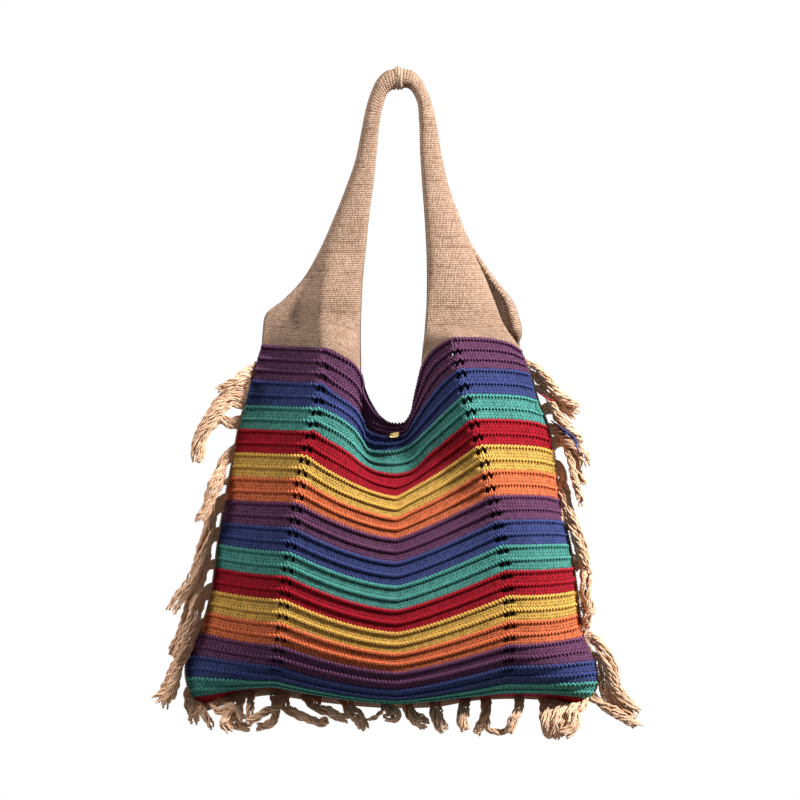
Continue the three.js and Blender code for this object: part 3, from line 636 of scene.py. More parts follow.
def grown(name, guide, tree, values, finish):
    """A plain mesh object from a guide mesh and a geometry tree."""
    carrier = new_object(name + "_guide", guide)
    modifier = carrier.modifiers.new("yarn", "NODES")
    modifier.node_group = tree
    sockets = {s.name: s.identifier for s in tree.interface.items_tree if s.in_out == "INPUT"}
    for key, value in {**values, "Material": finish}.items():
        modifier[sockets[key]] = value
    carrier.update_tag()
    depsgraph = bpy.context.evaluated_depsgraph_get()
    mesh = bpy.data.meshes.new_from_object(carrier.evaluated_get(depsgraph), preserve_all_data_layers=True,
                                           depsgraph=depsgraph)
    if not len(mesh.polygons):
        raise RuntimeError(f"the yarn tree made nothing for {name}")
    bpy.data.objects.remove(carrier)
    mesh.name = name
    mesh.materials.clear()
    return dressed(name, mesh, finish)


# Shader node groups and materials. The finished ones are shared by all pieces
shared = {}


def mound(value, low, high):
    """0 outside low and high, 1 in the middle."""
    off = abs(value - (low + high) / 2) / ((high - low) / 2)
    return (1 - off**2).at_least(0)


def stitch_group():
    """Plain knit in columns of V stitches. Height is 1 on the yarn; the other output is 1 between the
    strands, where shade is painted.
    """
    weave, given = new_tree("Plain knit", "ShaderNodeTree", ("Wale", "Course", "Slant", "Column"),
                            ("Height", "Gap"))
    across = given["Wale"].fraction()
    edge = abs(across * 2 - 1)
    strand = ((given["Course"] + edge * given["Slant"]).fraction() * math.pi).sine()
    legs = ((across * 2).fraction() * math.pi).sine() ** 0.6
    column = (across * math.pi).sine()
    height = strand**0.8 * ((column - legs) * given["Column"] + legs)
    return weave.ended({"Height": height, "Gap": (1 - height) ** 1.2})


def mottle_group():
    """Uneven dye and fibre: fine and broad lightness changes over a colour, with painted shade where the
    shade input is 1, between the strands.
    """
    weave, given = new_tree("Yarn mottle", "ShaderNodeTree", ("Color", "Amount", "Gap"), ("Color",))
    place = weave.read("ShaderNodeTexCoord", "Object")

    def noise(scale):
        return weave.read("ShaderNodeTexNoise", "Fac", {"Vector": place, "Scale": scale, "Detail": 2.0})

    sway = (noise(900.0) - 0.5) * 1.3 + (noise(45.0) - 0.5) * 0.7
    # Random tone from the noise, darkened by the painted shade between the strands
    value = (sway * given["Amount"] + 1) * (1 - given["Gap"] * 0.88)
    tone = {"Value": value, "Saturation": 1.0, "Color": given["Color"]}
    return weave.ended({"Color": weave.read("ShaderNodeHueSaturation", "Color", tone)})


def stripe_group(colours):
    """The stripe colour of a band: the first stripe is three bands deep, the others two."""
    weave, given = new_tree("Stripes", "ShaderNodeTree", ("Band",), ("Color",))
    count = len(colours)
    stripe = (given["Band"] * 0.5 - 0.5).floor().at_least(0).math("MODULO", count)
    ramp = weave.node("ShaderNodeValToRGB", {"Fac": (stripe + 0.5) / count})
    ramp.color_ramp.interpolation = "CONSTANT"
    stops = ramp.color_ramp.elements
    for k, colour in enumerate(colours):
        stop = stops[k] if k < 2 else stops.new(k / count)
        stop.position = k / count
        stop.color = (*colour, 1)
    return weave.ended({"Color": weave.wires(ramp)["Color"]})


class Finish(Weaver):
    """A material under way, with its shader's inputs."""

    def __init__(self, name, roughness, specular=0.12):
        self.material = bpy.data.materials.new(name)
        self.material.use_nodes = True
        super().__init__(self.material.node_tree)
        self.shader = self.tree.nodes["Principled BSDF"].inputs
        self.shader["Roughness"].default_value = roughness
        self.shader["Specular IOR Level"].default_value = specular

    def group(self, name, values):
        return self.wires(self.node("ShaderNodeGroup", values, node_tree=shared[name]))

    def dye(self, colour, amount, shade_and_tone):
        """Colours the shader unevenly, with shade painted in between the strands."""
        colour = colour if isinstance(colour, Wire) else (*colour, 1)
        toned = self.group("mottle", {"Color": colour, "Amount": amount, "Gap": shade_and_tone})
        self.feed(self.shader["Base Color"], toned["Color"])

    def bump(self, height, distance, strength=1.0):
        inputs = {"Height": height, "Distance": distance, "Strength": strength}
        self.feed(self.shader["Normal"], self.read("ShaderNodeBump", "Normal", inputs))

    def stitches(self):
        """The place on the knit in stitches, as a vector, across and along."""
        place = self.read("ShaderNodeUVMap", "UV", uv_map="stitch")
        split = self.wires(self.node("ShaderNodeSeparateXYZ", {"Vector": place}))
        return place, split["X"], split["Y"]

    def chance(self, wale, course):
        """A random value for each leg of a stitch."""
        leg = self.read("ShaderNodeCombineXYZ", "Vector", {"X": (wale * 2).floor(), "Y": course.floor()})
        return self.read("ShaderNodeTexWhiteNoise", "Value", {"Vector": leg}, noise_dimensions="2D")

    def carried(self, name):
        return self.read("ShaderNodeAttribute", "Fac", attribute_name=name)

    def plies(self, turns):
        """Twisted strands round a yarn: 1 on a strand, 0 between two."""
        return (self.carried("run_length") * turns + self.carried("girth") * (4 * math.pi)).sine() * 0.5 + 0.5

    def mixed(self, factor, a, b):
        inputs = {"Factor": factor, "A": (*a, 1), "B": (*b, 1)}
        return self.read("ShaderNodeMix", "Result", inputs, data_type="RGBA")


def stripe_knit(wales):
    """The panels: V stitches between the ridges, stretched threads in the lace, zigzag colour changes."""
    knit = Finish("striped_knit", roughness=0.85)
    _, wale, band = knit.stitches()
    within = band.fraction()
    edge = abs(wale.fraction() * 2 - 1)
    colour = knit.group("stripes", {"Band": (edge - 0.5) * 0.15 + band})["Color"]
    course = band * 4
    plain = knit.group("knit", {"Wale": wale, "Course": course, "Slant": 0.8, "Column": 0.32})
    # Lace: threads between the eyelets
    lace_at = wales * (1 - LACE) / 2
    from_end = wale.at_most(wales - wale)

    def near_lace(off, reach):
        return mound(from_end, lace_at + off - reach, lace_at + off + reach)

    lace = (near_lace(0, 2) * 2).at_most(1)
    threads = abs((wale * (1.5 * math.pi)).sine())
    height = plain["Height"] * (1 - lace) + threads * lace
    # Painted shade between the lace's threads
    between = (1 - threads) * 0.25 * lace
    # The dotted groove under a ridge is bumped in and darkened with painted shade; it is weaker by the lace
    # and on the flanks
    groove = mound(within, 0.12, 0.38) * (edge**1.5 * 0.7 + 0.25)
    flank = ((lace_at - from_end) * 0.3).at_most(0.45)
    groove = groove * (1 - near_lace(0, 3.5).at_least(flank))
    # Painted shadow of the ridge's yarn on the knit just under it
    ridge_shadow = mound(within, -0.03, 0.22) * 0.75
    # Painted shade between the strands, the lace threads, under the ridges and in the grooves, with random
    # tone for each leg
    shade_and_tone = (plain["Gap"] * 0.95).at_least(between).at_least(ridge_shadow).at_least(groove * 0.7)
    shade_and_tone = shade_and_tone + (knit.chance(wale, course) - 0.5) * 0.36
    # Painted shade round the eyelets of both lace columns
    for column in (-1, 1):
        shade_and_tone = shade_and_tone + near_lace(column, 0.5) * mound(within, 0.1, 0.7) * 0.35
    knit.dye(colour, 0.35, shade_and_tone.at_most(1.1))
    knit.bump(height - groove * 0.45, 0.0014)
    return knit.material


def ridge_yarn():
    """The garter ridges' yarn, in the colour of its band."""
    yarn = Finish("ridge_yarn", roughness=0.8)
    ply = yarn.plies(2200)
    # Painted shade between the plies
    yarn.dye(yarn.group("stripes", {"Band": yarn.carried("band")})["Color"], 0.25, (1 - ply) * 0.5)
    yarn.bump(ply, 0.0002, 0.6)
    return yarn.material


def tan_knit(colour):
    """The strap: fine plain knit with uneven rows."""
    strap = Finish("tan_knit", roughness=0.85)
    place, wale, course = strap.stitches()
    plain = strap.group("knit", {"Wale": wale, "Course": course, "Slant": 0.4, "Column": 0.2})
    rows = strap.read("ShaderNodeMapping", "Vector", {"Vector": place, "Scale": (0.05, 0.7, 1.0)})
    uneven = strap.read("ShaderNodeTexNoise", "Fac", {"Vector": rows, "Scale": 1.0, "Detail": 3.0})
    streak = (uneven * 6 - 3.3).at_least(0)
    # Painted shade between the strands, with uneven rows and random specks; all of it mixes the tan towards a
    # darker, warm shaded colour
    shade_and_tone = plain["Gap"] * 0.9 + streak * 0.7 + (strap.chance(wale, course) * 0.7 - 0.3)
    deep = [c * share for c, share in zip(colour, (0.5, 0.42, 0.36))]
    strap.dye(strap.mixed(shade_and_tone.at_least(0).at_most(1), colour, deep), 0.4, 0.0)
    strap.bump(plain["Height"], 0.001)
    return strap.material


def plain_yarn(name, colour):
    """Loose twisted yarn."""
    yarn = Finish(name, roughness=0.8)
    ply = yarn.plies(2600)
    # Painted shade between the plies
    yarn.dye(colour, 0.35, (1 - ply) * 0.42)
    yarn.bump(ply, 0.00025, 0.7)
    return yarn.material


def tape_cloth(colour):
    """The fringe's tape: a plain ribbed weave."""
    tape = Finish("fringe_tape_cloth", roughness=0.9)
    rib = abs((tape.stitches()[1] * math.pi).sine())
    # Painted shade between the ribs
    tape.dye(colour, 0.3, 1 - rib)
    tape.bump(rib, 0.0006)
    return tape.material


def bright_metal(name, colour, roughness):
    """Plated metal with fine rubbing marks."""
    metal = Finish(name, roughness)
    metal.shader["Metallic"].default_value = 1.0
    place = metal.read("ShaderNodeTexCoord", "Object")
    rubbed = metal.read("ShaderNodeTexNoise", "Fac", {"Vector": place, "Scale": 700.0, "Detail": 3.0})
    metal.feed(metal.shader["Roughness"], rubbed * 0.25 + (roughness - 0.1))
    worn = [c * 0.8 for c in colour]
    metal.feed(metal.shader["Base Color"], metal.mixed(rubbed, worn, colour))
    return metal.material


# Sizes and colours


def colour_property(name, description, default):
    return FloatVectorProperty(name=name, description=description, subtype="COLOR", size=3, min=0, max=1,
                               default=default)


def length_property(name, description, default):
    return FloatProperty(name=name, description=description, default=default, min=0, unit="LENGTH",
                         precision=5)


def power_property(name, description, default):
    return FloatProperty(name=name, description=description, default=default, min=0, unit="POWER")


class ToteColours(PropertyGroup):
    """Yarn and metal colours."""

    purple: colour_property("Purple", "Top stripe and every sixth after it", (0.18, 0.063, 0.145))
    navy: colour_property("Navy", "Second stripe", (0.063, 0.085, 0.262))
    green: colour_property("Green", "Third stripe", (0.108, 0.41, 0.345))
    red: colour_property("Red", "Fourth stripe", (0.5, 0.0115, 0.028))
    yellow: colour_property("Yellow", "Fifth stripe", (0.95, 0.56, 0.125))
    orange: colour_property("Orange", "Sixth stripe", (0.95, 0.23, 0.09))
    strap: colour_property("Strap", "Tan yarn of the strap", (0.61, 0.412, 0.298))
    fringe: colour_property("Fringe", "Tan yarn of the fringe", (0.95, 0.61, 0.4))
    brass: colour_property("Brass", "Caps of the snap", (0.83, 0.58, 0.24))
    steel: colour_property("Steel", "Magnet of the snap", (0.55, 0.56, 0.58))


class ToteKnit(PropertyGroup):
    """Sizes of the knitting."""

    wales: IntProperty(name="Wales", description="Columns of stitches across a panel", default=110, min=40,
                       max=160)
    wall: length_property("Wall", "Thickness of the knit between the ridges", 0.0026)
    ridge: length_property("Ridge", "How far a garter ridge stands out of the knit", 0.0014)
    ridge_yarn: length_property("Ridge yarn", "Radius of the yarn on a ridge", 0.00095)
    strap_wall: length_property("Strap wall", "Thickness of the strap's knit", 0.0024)
    strap_stitch: length_property("Strap stitch", "Width of a stitch of the strap", 0.0029)
    wrap_yarn: length_property("Wrap yarn", "Radius of the yarn wound round the strap's top", 0.0015)


class ToteFringe(PropertyGroup):
    """Sizes of the fringe."""

    density: FloatProperty(name="Density", description="Strands for each millimetre of half a rope's width",
                           default=2.7, min=1, max=5)
    yarn: length_property("Yarn", "Radius of a fringe yarn", 0.001)
    thin_yarn: length_property("Thin yarn", "Radius of the heading's yarn and of the stray ends", 0.0007)
    tape_reach: length_property("Tape reach", "How far the tape stands out of the side seams", 0.0018)
    bottom_reach: length_property("Bottom reach", "How far it stands out of the bottom seam", 0.008)
    tape_half: length_property("Tape half", "Half the tape's thickness", 0.0009)
    rib: length_property("Rib", "Width of a rib of the tape", 0.0016)
    heading_stitch: length_property("Heading stitch", "Length of a stitch of the heading", 0.0028)


class ToteStage(PropertyGroup):
    """Light and floor."""

    key_power: power_property("Key", "Power of the lamp at the right", 89)
    fill_power: power_property("Fill", "Power of the lamp at the left", 25)
    sky: FloatProperty(name="Sky", description="Strength of the light from all sides", default=0.22, min=0)
    floor_drop: length_property("Floor drop", "Floor below the lowest tassel", 0.9)
    floor_radius: length_property("Floor radius", "Radius of the floor, which fades out", 1.3)


def yarns():
    """The materials and node trees, made once."""
    if not shared:
        dye = bpy.context.scene.tote_colours
        stripes = [dye.purple, dye.navy, dye.green, dye.red, dye.yellow, dye.orange]
        shared.update(knit=stitch_group(), mottle=mottle_group(), stripes=stripe_group(stripes))
        shared["panel"] = stripe_knit(bpy.context.scene.tote_knit.wales)
        shared["ridge"] = ridge_yarn()
        shared["strap"] = tan_knit(dye.strap)
        # The tape's tan at half the fringe's brightness is painted shade from the belly over it
        shared["tape"] = tape_cloth([v * 0.5 for v in dye.fringe])
        plain = {"fringe": dye.fringe, "binding": dye.strap, "stray_red": dye.red, "stray_navy": dye.navy}
        for word, colour in plain.items():
            shared[word] = plain_yarn(word + "_yarn", colour)
        shared["brass"] = bright_metal("brass_cap", dye.brass, roughness=0.25)
        shared["steel"] = bright_metal("magnet_steel", dye.steel, roughness=0.35)
        shared.update(wavy=wavy_yarn_tree(), bundle=bundle_tree())
    return shared


def kept(piece, slot, *nodes):
    """Rides a finished piece on the bag in place of its solids."""
    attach(piece, "root")
    if nodes:
        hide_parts(*nodes)


def dressed(name, mesh, finish):
    mesh.materials.append(finish)
    return new_object(name, mesh)


def still_yarn(name, paths, radius, sides, finish):
    """A yarn that follows lines without a wave."""
    guide = Guide()
    for path in paths:
        guide.add(path, down=np.zeros(3), out=np.zeros(3), stitch=0.0, band=0.0)
    sizes = {"Wave": 0.0, "Lift": 0.0, "Swell": 0.0, "Yarn radius": radius, "Sides": sides}
    return grown(name, guide.mesh(name + "_lines"), yarns()["wavy"], sizes, finish)


# Panels: a band's rows by share and height are the ridge at its top, the groove and the plain knit below
ROWS = ((0.0, 0.0), (0.07, 0.2), (0.13, 0.2), (0.18, 0.0), (0.4, -0.15), (0.62, 0.0), (0.75, 0.1),
        (0.87, 0.1))
RIDGE_AT, RIDGE_SEAT = 0.11, 0.35  # a ridge's line in its band, and how high on the ridge its yarn sits
# Eyelets: the rows and bands they take, how thin the cloth is there, and how much they narrow in stitches
EYELET_ROWS = (3, 5)
EYELET_BANDS = range(1, 28)
EYELET_LIP = 0.4
EYELET_TUCK = np.array((0.2, -0.08, 0.2))


def panel_mesh(name, behind):
    """A panel's wall, one cell of its grid to a stitch."""
    knit = bpy.context.scene.tote_knit
    wales = knit.wales
    bands = np.array([k + share for k in range(BANDS) for share, _ in ROWS] + [BANDS])
    rise = np.array([height for _, height in ROWS] * BANDS + [0.0])
    rise = rise * (1 - ease(bands, BANDS - 4, BANDS - 2))
    wale = np.tile(np.arange(wales + 1, dtype=float), (len(bands), 1))
    keep = np.ones((len(bands) - 1, wales), bool)
    lip = np.ones(wale.shape)
    lace = round(wales * (1 - LACE) / 2)
    for band in EYELET_BANDS:
        top, end = (band * len(ROWS) + row for row in EYELET_ROWS)
        for cell in (lace - 2, lace, wales - 1 - lace, wales + 1 - lace):
            keep[top:end, cell] = False
            lip[top:end + 1, cell:cell + 2] = EYELET_LIP
            wale[top:end + 1, cell] += EYELET_TUCK
            wale[top:end + 1, cell + 1] -= EYELET_TUCK
    across = wale / wales * 2 - 1
    band = np.broadcast_to(bands[:, None], across.shape)
    inner = cloth(across, band, behind)
    thick = (knit.wall + knit.ridge * rise)[:, None] * lip
    outer = inner + cloth_out(across, band, behind) * thick[..., None]
    return sheet(name, outer, inner, np.stack([wale, band], axis=-1), keep)


def ridge_guide(name, behind):
    """Lines along the ridges, four points to a stitch."""
    knit = bpy.context.scene.tote_knit
    stitch = np.linspace(0, knit.wales, knit.wales * 4 + 1)
    across = stitch / knit.wales * 2 - 1
    guide = Guide()
    for band in range(BANDS - 2):
        at = band + RIDGE_AT
        out = cloth_out(across, at, behind)
        down = unit(cloth(across, at + 0.3, behind) - cloth(across, max(at - 0.3, 0), behind))
        path = cloth(across, at, behind) + out * (knit.wall + knit.ridge * RIDGE_SEAT)
        guide.add(path, down=down, out=out, stitch=stitch, band=band + 0.2)
    return guide.mesh(name)


class TOTE_OT_panels(Operator):
    """Knit the front and back panels with their ridges and lace holes"""

    bl_idname = "tote.panels"
    bl_label = "Panels"

    def execute(self, context):
        made = yarns()
        yarn = context.scene.tote_knit.ridge_yarn
        sizes = {"Wave": yarn * 1.6, "Lift": yarn * 0.5, "Swell": yarn * 0.4, "Yarn radius": yarn, "Sides": 4}
        for word, behind in (("front", False), ("back", True)):
            name = word + "_cloth"
            kept(dressed(name, panel_mesh(name, behind), made["panel"]), "striped_knit", word + "_panel")
            guide = ridge_guide(word + "_ridge_lines", behind)
            kept(grown(word + "_ridges", guide, made["wavy"], sizes, made["ridge"]), "striped_knit")
        return {"FINISHED"}


# Strap: cells across and along a leaf, and heights at which its two edges are paired
LEAF_COLUMNS, LEAF_ROWS = 44, 150
LEAF_LEVELS = (-205, -160, -110, -60, -25)
LEAVES = (("front_left", LEFT_OUTER, LEFT_INNER), ("front_right", RIGHT_OUTER, RIGHT_INNER),
          ("back_left", LEFT_OUTER, LEFT_INNER), ("back_right", RIGHT_BEHIND, RIGHT_INNER))
# How deep a leaf lies in millimetres. Gape, reach and join are for the left and the right
LEAF_EDGE = 0.4  # its edges at the hook
LEAF_GAPE = (5, 9)  # its outer edge where it stands off most
LEAF_REACH = (0, 42)  # the least that its inner edge comes forward at the mouth
LEAF_ARCH = (8.3, 11)  # its middle, at the hook and at the mouth
LEAF_FOLD = 16  # the fold of the front left leaf
LEAF_JOIN = (0.2, 0.12)  # share of its length that is drawn to the panel
LEAF_START = 0.0028  # metres out of the panel's inner face where it starts
WRAP_TURNS, WRAP_POINTS = 5, 28


def leaf_grid(outer_line, inner_line, right, behind):
    """Points of a strap leaf's outer face, up from the panel to the hook and inward from its outer edge."""
    inward = np.linspace(0, 1, LEAF_COLUMNS + 1)[None, :]
    up = np.linspace(0, 1, LEAF_ROWS + 1)[:, None]
    fall = 1 - up
    both = (outer_line, inner_line)
    at_outer, at_inner = ([0, *np.interp(LEAF_LEVELS, line[1], by_length(line)), 1] for line in both)
    outer_x, outer_z = along(outer_line, np.interp(up, at_inner, at_outer))
    inner_x, inner_z = along(inner_line, up)
    # The flat cloth rolls up on its way to the hook
    rolled = lerp(inward, (1 - np.cos(math.pi * inward)) / 2, ease(up, 0.12, 0.55))
    x, z = lerp(outer_x, inner_x, rolled), lerp(outer_z, inner_z, rolled)
    edge = lerp(1, LOOP, inward[0]) * (1 if right else -1)
    root = cloth(edge, 0, behind)
    mouth_depth = abs(root[-1, 1]) / MM
    outer_depth = LEAF_EDGE + LEAF_GAPE[right] * np.sin(math.pi * fall**2)
    inner_depth = lerp(LEAF_EDGE, max(mouth_depth, LEAF_REACH[right]), fall**1.6)
    arch = np.sin(math.pi * inward) ** 0.8
    depth = lerp(outer_depth, inner_depth, rolled) + lerp(*LEAF_ARCH, ease(fall, 0.1, 0.7)) * arch
    if not right and not behind:
        crease = lerp(0.6, 0.3, ease(up, 0, 0.36))
        fold = ease(inward, crease - 0.16, crease + 0.16) - 0.4
        depth = depth + LEAF_FOLD * fold * (1 - ease(up, 0.24, 0.44)) * arch
    if right and behind:
        curl = hump(inward, -0.05, 0.06, 0.04, 0.26)
        depth = depth - (depth + 9) * 0.9 * curl * hump(fall, 0.25, 0.5, 0.9, 1)
    points = placed(x, depth, z, behind)
    # The lowest rows are drawn to the panel's outer face
    top = root + cloth_out(edge, 0, behind) * LEAF_START
    join = 1 - ease(up, 0, LEAF_JOIN[right])
    return points + (top - points[0])[None] * join[..., None]


def leaf_mesh(name, outer_line, inner_line):
    """A strap leaf with its stitches counted from its inner edge."""
    knit = bpy.context.scene.tote_knit
    behind = "back" in name
    face = leaf_grid(outer_line, inner_line, "right" in name, behind)
    normal = unit(np.cross(np.gradient(face, axis=0), np.gradient(face, axis=1)))
    if np.sum(normal @ facing(behind)) < 0:
        normal = -normal
    steps = np.linalg.norm(np.diff(face, axis=1), axis=2)
    from_inner = evened(np.cumsum(steps[:, ::-1], axis=1)[:, ::-1], 20)
    u = np.pad(from_inner, ((0, 0), (0, 1))) / knit.strap_stitch
    v = -measured(face[:, -1]) / (knit.strap_stitch * 0.74)
    uv = np.stack(np.broadcast_arrays(u, v[:, None]), axis=-1)
    return sheet(name, face, face - normal * knit.strap_wall, uv)


class TOTE_OT_strap(Operator):
    """Knit the four leaves of the strap and the wrapped join at its top"""

    bl_idname = "tote.strap"
    bl_label = "Strap"

    def execute(self, context):
        for word, outer_line, inner_line in LEAVES:
            name = word + "_leaf"
            mesh = leaf_mesh(name, outer_line, inner_line)
            kept(dressed(name, mesh, yarns()["strap"]), "tan_knit", word + "_strap")
        low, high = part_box("strap_binding")
        centre, half = (low + high) / 2, (high - low) / 2
        turns = np.linspace(0, 2 * math.pi * WRAP_TURNS, WRAP_TURNS * WRAP_POINTS)
        wander = 0.0014 * np.sin(turns * 0.83) + 0.0007 * np.sin(turns * 2.3)
        snug = 0.7 + 0.06 * np.sin(turns * 1.37) + 0.03 * np.sin(turns * 3.1)
        x = centre.x + half.x * np.linspace(-1.0, 1.2, len(turns)) + wander
        y = centre.y + half.y * snug * np.cos(turns)
        z = centre.z + half.z * (snug * np.sin(turns) - 0.03)
        coil = np.stack([x, y, z], axis=1)
        wrap = still_yarn("strap_wrap", [coil], context.scene.tote_knit.wrap_yarn, 8, yarns()["binding"])
        kept(wrap, "tan_knit", "strap_binding")
        return {"FINISHED"}


# Fringe: the band where the tape starts, and a point inside the seams
TAPE_START = 1.5
BAG_MIDDLE = np.array([0, 0, -0.45])
# The heading's yarns: out of the seam, in front of it or behind it, and their wave and swell
HEADING_OUT, HEADING_AHEAD = 0.0008, 0.0013
HEADING_WAVE, HEADING_SWELL = 0.0012, 0.0003
# The kinks of a strand: their height and length
KINK, KINK_LENGTH = 0.0006, 0.011
# How many points a rope has, the share of its root on the seam that it fills, and its start above that
SIDE_SHAPE = {"points": 40, "root": 0.62, "lift": 0}
BOTTOM_SHAPE = {"points": 26, "root": 0.95, "lift": 4}
# Ropes, lanes in front of the seam (negative) and behind it, shape, twist, uneven ends and seed
ROPE_SETS = {
    "left": (LEFT_ROPES, (-15, -5, -11, -2), SIDE_SHAPE, 4.0, 0.009, 3),
    "right": (RIGHT_ROPES, (-7, 1, -10, -3), SIDE_SHAPE, 4.0, 0.009, 11),
    "bottom": (BOTTOM_ROPES, (-26, -32, -22), BOTTOM_SHAPE, 3.0, 0.004, 23),
}


def seam_line(count):
    """Even points of the seam from the top left round the bottom to the top right, and the way out of it."""
    side = np.linspace(TAPE_START, BANDS, count)
    bottom = np.linspace(-1, 1, count + 2)[1:-1]
    path = np.concatenate([cloth(-1, side), cloth(bottom, BANDS), cloth(1, side[::-1])])
    path[:, 1] = 0
    steps = measured(path)
    even = np.linspace(0, steps[-1], count * 3)
    path = read_at(even, steps, path)
    out = unit(np.cross(evened(np.gradient(path, axis=0), 4), [0, 1, 0]))
    if np.sum((path - BAG_MIDDLE) * out) < 0:
        out = -out
    return path, out, even


class TOTE_OT_tape(Operator):
    """Sew the fringe's tape into the seams, with the yarn that heads the fringe"""

    bl_idname = "tote.tape"
    bl_label = "Fringe tape"

    def execute(self, context):
        made = yarns()
        fringe = context.scene.tote_fringe
        path, out, run = seam_line(150)
        shares = np.array([-1, -0.3, 0.4, 1])
        at_bottom = ease(-out[:, 2], 0.5, 0.9)
        below = fringe.bottom_reach * lerp(1, 0.35, ease(path[:, 0], 0.03, 0.08))
        reach = np.where(shares > 0, lerp(fringe.tape_reach, below, at_bottom)[:, None], fringe.tape_reach)
        grid = path[:, None] + out[:, None] * (shares * reach)[..., None]
        half = np.array([0, fringe.tape_half, 0])
        uv = np.stack(np.broadcast_arrays(run[:, None] / fringe.rib, shares), axis=-1)
        tape = dressed("fringe_band", sheet("fringe_band", grid - half, grid + half, uv), made["tape"])
        kept(tape, "tan_yarn", "fringe_tape")
        guide = self.heading_guide(path, out, run, run[at_bottom > 0.4], fringe.heading_stitch)
        sizes = {"Wave": HEADING_WAVE, "Lift": 0.0, "Swell": HEADING_SWELL, "Yarn radius": fringe.thin_yarn,
                 "Sides": 4}
        kept(grown("fringe_heading", guide, made["wavy"], sizes, made["fringe"]), "tan_yarn")
        return {"FINISHED"}

    def heading_guide(self, path, out, run, bottom, stitch):
        """Lines in front of and behind the tape, along both sides of the bag."""
        guide = Guide()
        for start, end in ((0, bottom[0]), (bottom[-1], run[-1])):
            places = np.arange(start, end, stitch / 6)
            line, outward = read_at(places, run, path), read_at(places, run, out)
            for behind in (False, True):
                ahead = facing(behind)
                beside = line + outward * HEADING_OUT + ahead * HEADING_AHEAD
                guide.add(beside, down=outward, out=ahead, stitch=places / stitch, band=0.0)
        return guide.mesh("heading_lines")


def rope_guide(name, ropes, lanes, density, points, root, lift):
    """A line along each rope, with its width and strands."""
    guide = Guide()
    share = np.linspace(0, 1, points)
    for k, (half, top, low, *way) in enumerate(ropes):
        top, low = np.array(top, float), np.array(low, float)
        x, z = along(np.array([(top + low) / 2 + (0, lift), *way]).T, share)
        y = lanes[k % len(lanes)] * np.sin(math.pi / 2 * np.clip(share / 0.7, 0, 1))
        path = placed(x, -y, z)
        run = unit(np.gradient(path, axis=0))
        side = unit(np.cross(run, [0.0, 1.0, 0.0]))
        seam = np.array([low[0] - top[0], 0, low[1] - top[1]]) * MM / 2 * root
        guide.add(path, share=share, seam=seam, run=run, strands=max(4, round(half * density)),
                  half=half * MM * lerp(1.0, 0.85, share), side_b=np.cross(run, side),
                  side_a=side if side[points // 3] @ seam > 0 else -side)
    return guide.mesh(name)


class TOTE_OT_fringe(Operator):
    """Spin the tassels of the sides and the bottom, and the few stray yarns among them"""

    bl_idname = "tote.fringe"
    bl_label = "Fringe"

    def execute(self, context):
        made = yarns()
        fringe = context.scene.tote_fringe
        for word, (ropes, lanes, shape, twist, uneven, seed) in ROPE_SETS.items():
            guide = rope_guide(f"{word}_ropes", ropes, lanes, fringe.density, **shape)
            sizes = {"Twist": twist, "Uneven": uneven, "Kink": KINK, "Kink length": KINK_LENGTH,
                     "Yarn radius": fringe.yarn, "Sides": 5, "Seed": seed}
            piece = grown(f"fringe_{word}", guide, made["bundle"], sizes, made["fringe"])
            kept(piece, "tan_yarn", *sorted(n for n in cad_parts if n.startswith(f"tassel_{word}_")))
        fine = np.linspace(0, 1, 18)
        for word, routes in STRAYS.items():
            paths = []
            for route in routes:
                marks, axes = np.linspace(0, 1, len(route)), np.transpose(route) * MM
                paths.append(np.stack([through(marks, axis, fine) for axis in axes], axis=1))
            kept(still_yarn(word, paths, fringe.thin_yarn, 6, made[word]), "striped_knit")
        return {"FINISHED"}


# Snap: radius and height of each ring in millimetres, its place across, and the cap's lean out of the cloth
CAP = ((0, 5.6), (3.2, 5.5), (5.2, 5.1), (6.1, 4.5), (6.4, 4.0), (6.2, 3.6), (1.6, 3.5), (1.6, -0.6),
       (0, -0.6))
DISC = ((0, -0.3), (7.4, -0.3), (8.0, -0.8), (8.0, -2.6), (7.4, -3.2), (2.6, -3.2), (2.4, -4.4), (0, -4.5))
SNAP_ACROSS = -0.01
CAP_LEAN = np.array([-0.25, 0, 1.1])


class TOTE_OT_snap(Operator):
    """Set the magnetic snap in the mouth"""

    bl_idname = "tote.snap"
    bl_label = "Snap"

    def execute(self, context):
        sides = (("front", False, "brass", ["front_snap_stud"]),
                 ("back", True, "steel", ["back_snap_socket", "snap_magnet"]))
        for word, behind, metal, nodes in sides:
            rivet = f"{word}_snap_rivet"
            low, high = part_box(rivet)
            height = (low.z + high.z) / 2 - SNAP_SAG * MM
            bands = np.linspace(0, 6, 400)
            at = bands[np.argmin(np.abs(cloth(0, bands, behind)[:, 2] - height))]
            spot, flat = cloth(SNAP_ACROSS, at, behind), cloth_out(SNAP_ACROSS, at, behind)
            cap = turned(f"{word}_snap_cap", CAP, spot, unit(flat + CAP_LEAN))
            kept(dressed(cap.name, cap, yarns()["brass"]), "brass", rivet)
            disc = turned(nodes[0] + "_disc", DISC, spot, flat)
            kept(dressed(disc.name, disc, yarns()[metal]), "brass", *nodes)
        return {"FINISHED"}


# Stage: what the lamps point at, and each lamp's azimuth, height, distance and size
LAMP_TARGET = Vector((0, 0, -0.33))
LAMPS = {"key": (63, 36, 1.9, 0.18), "fill": (-74, 34, 1.8, 0.6)}
FLOOR_RINGS, FLOOR_SIDES = 24, 64


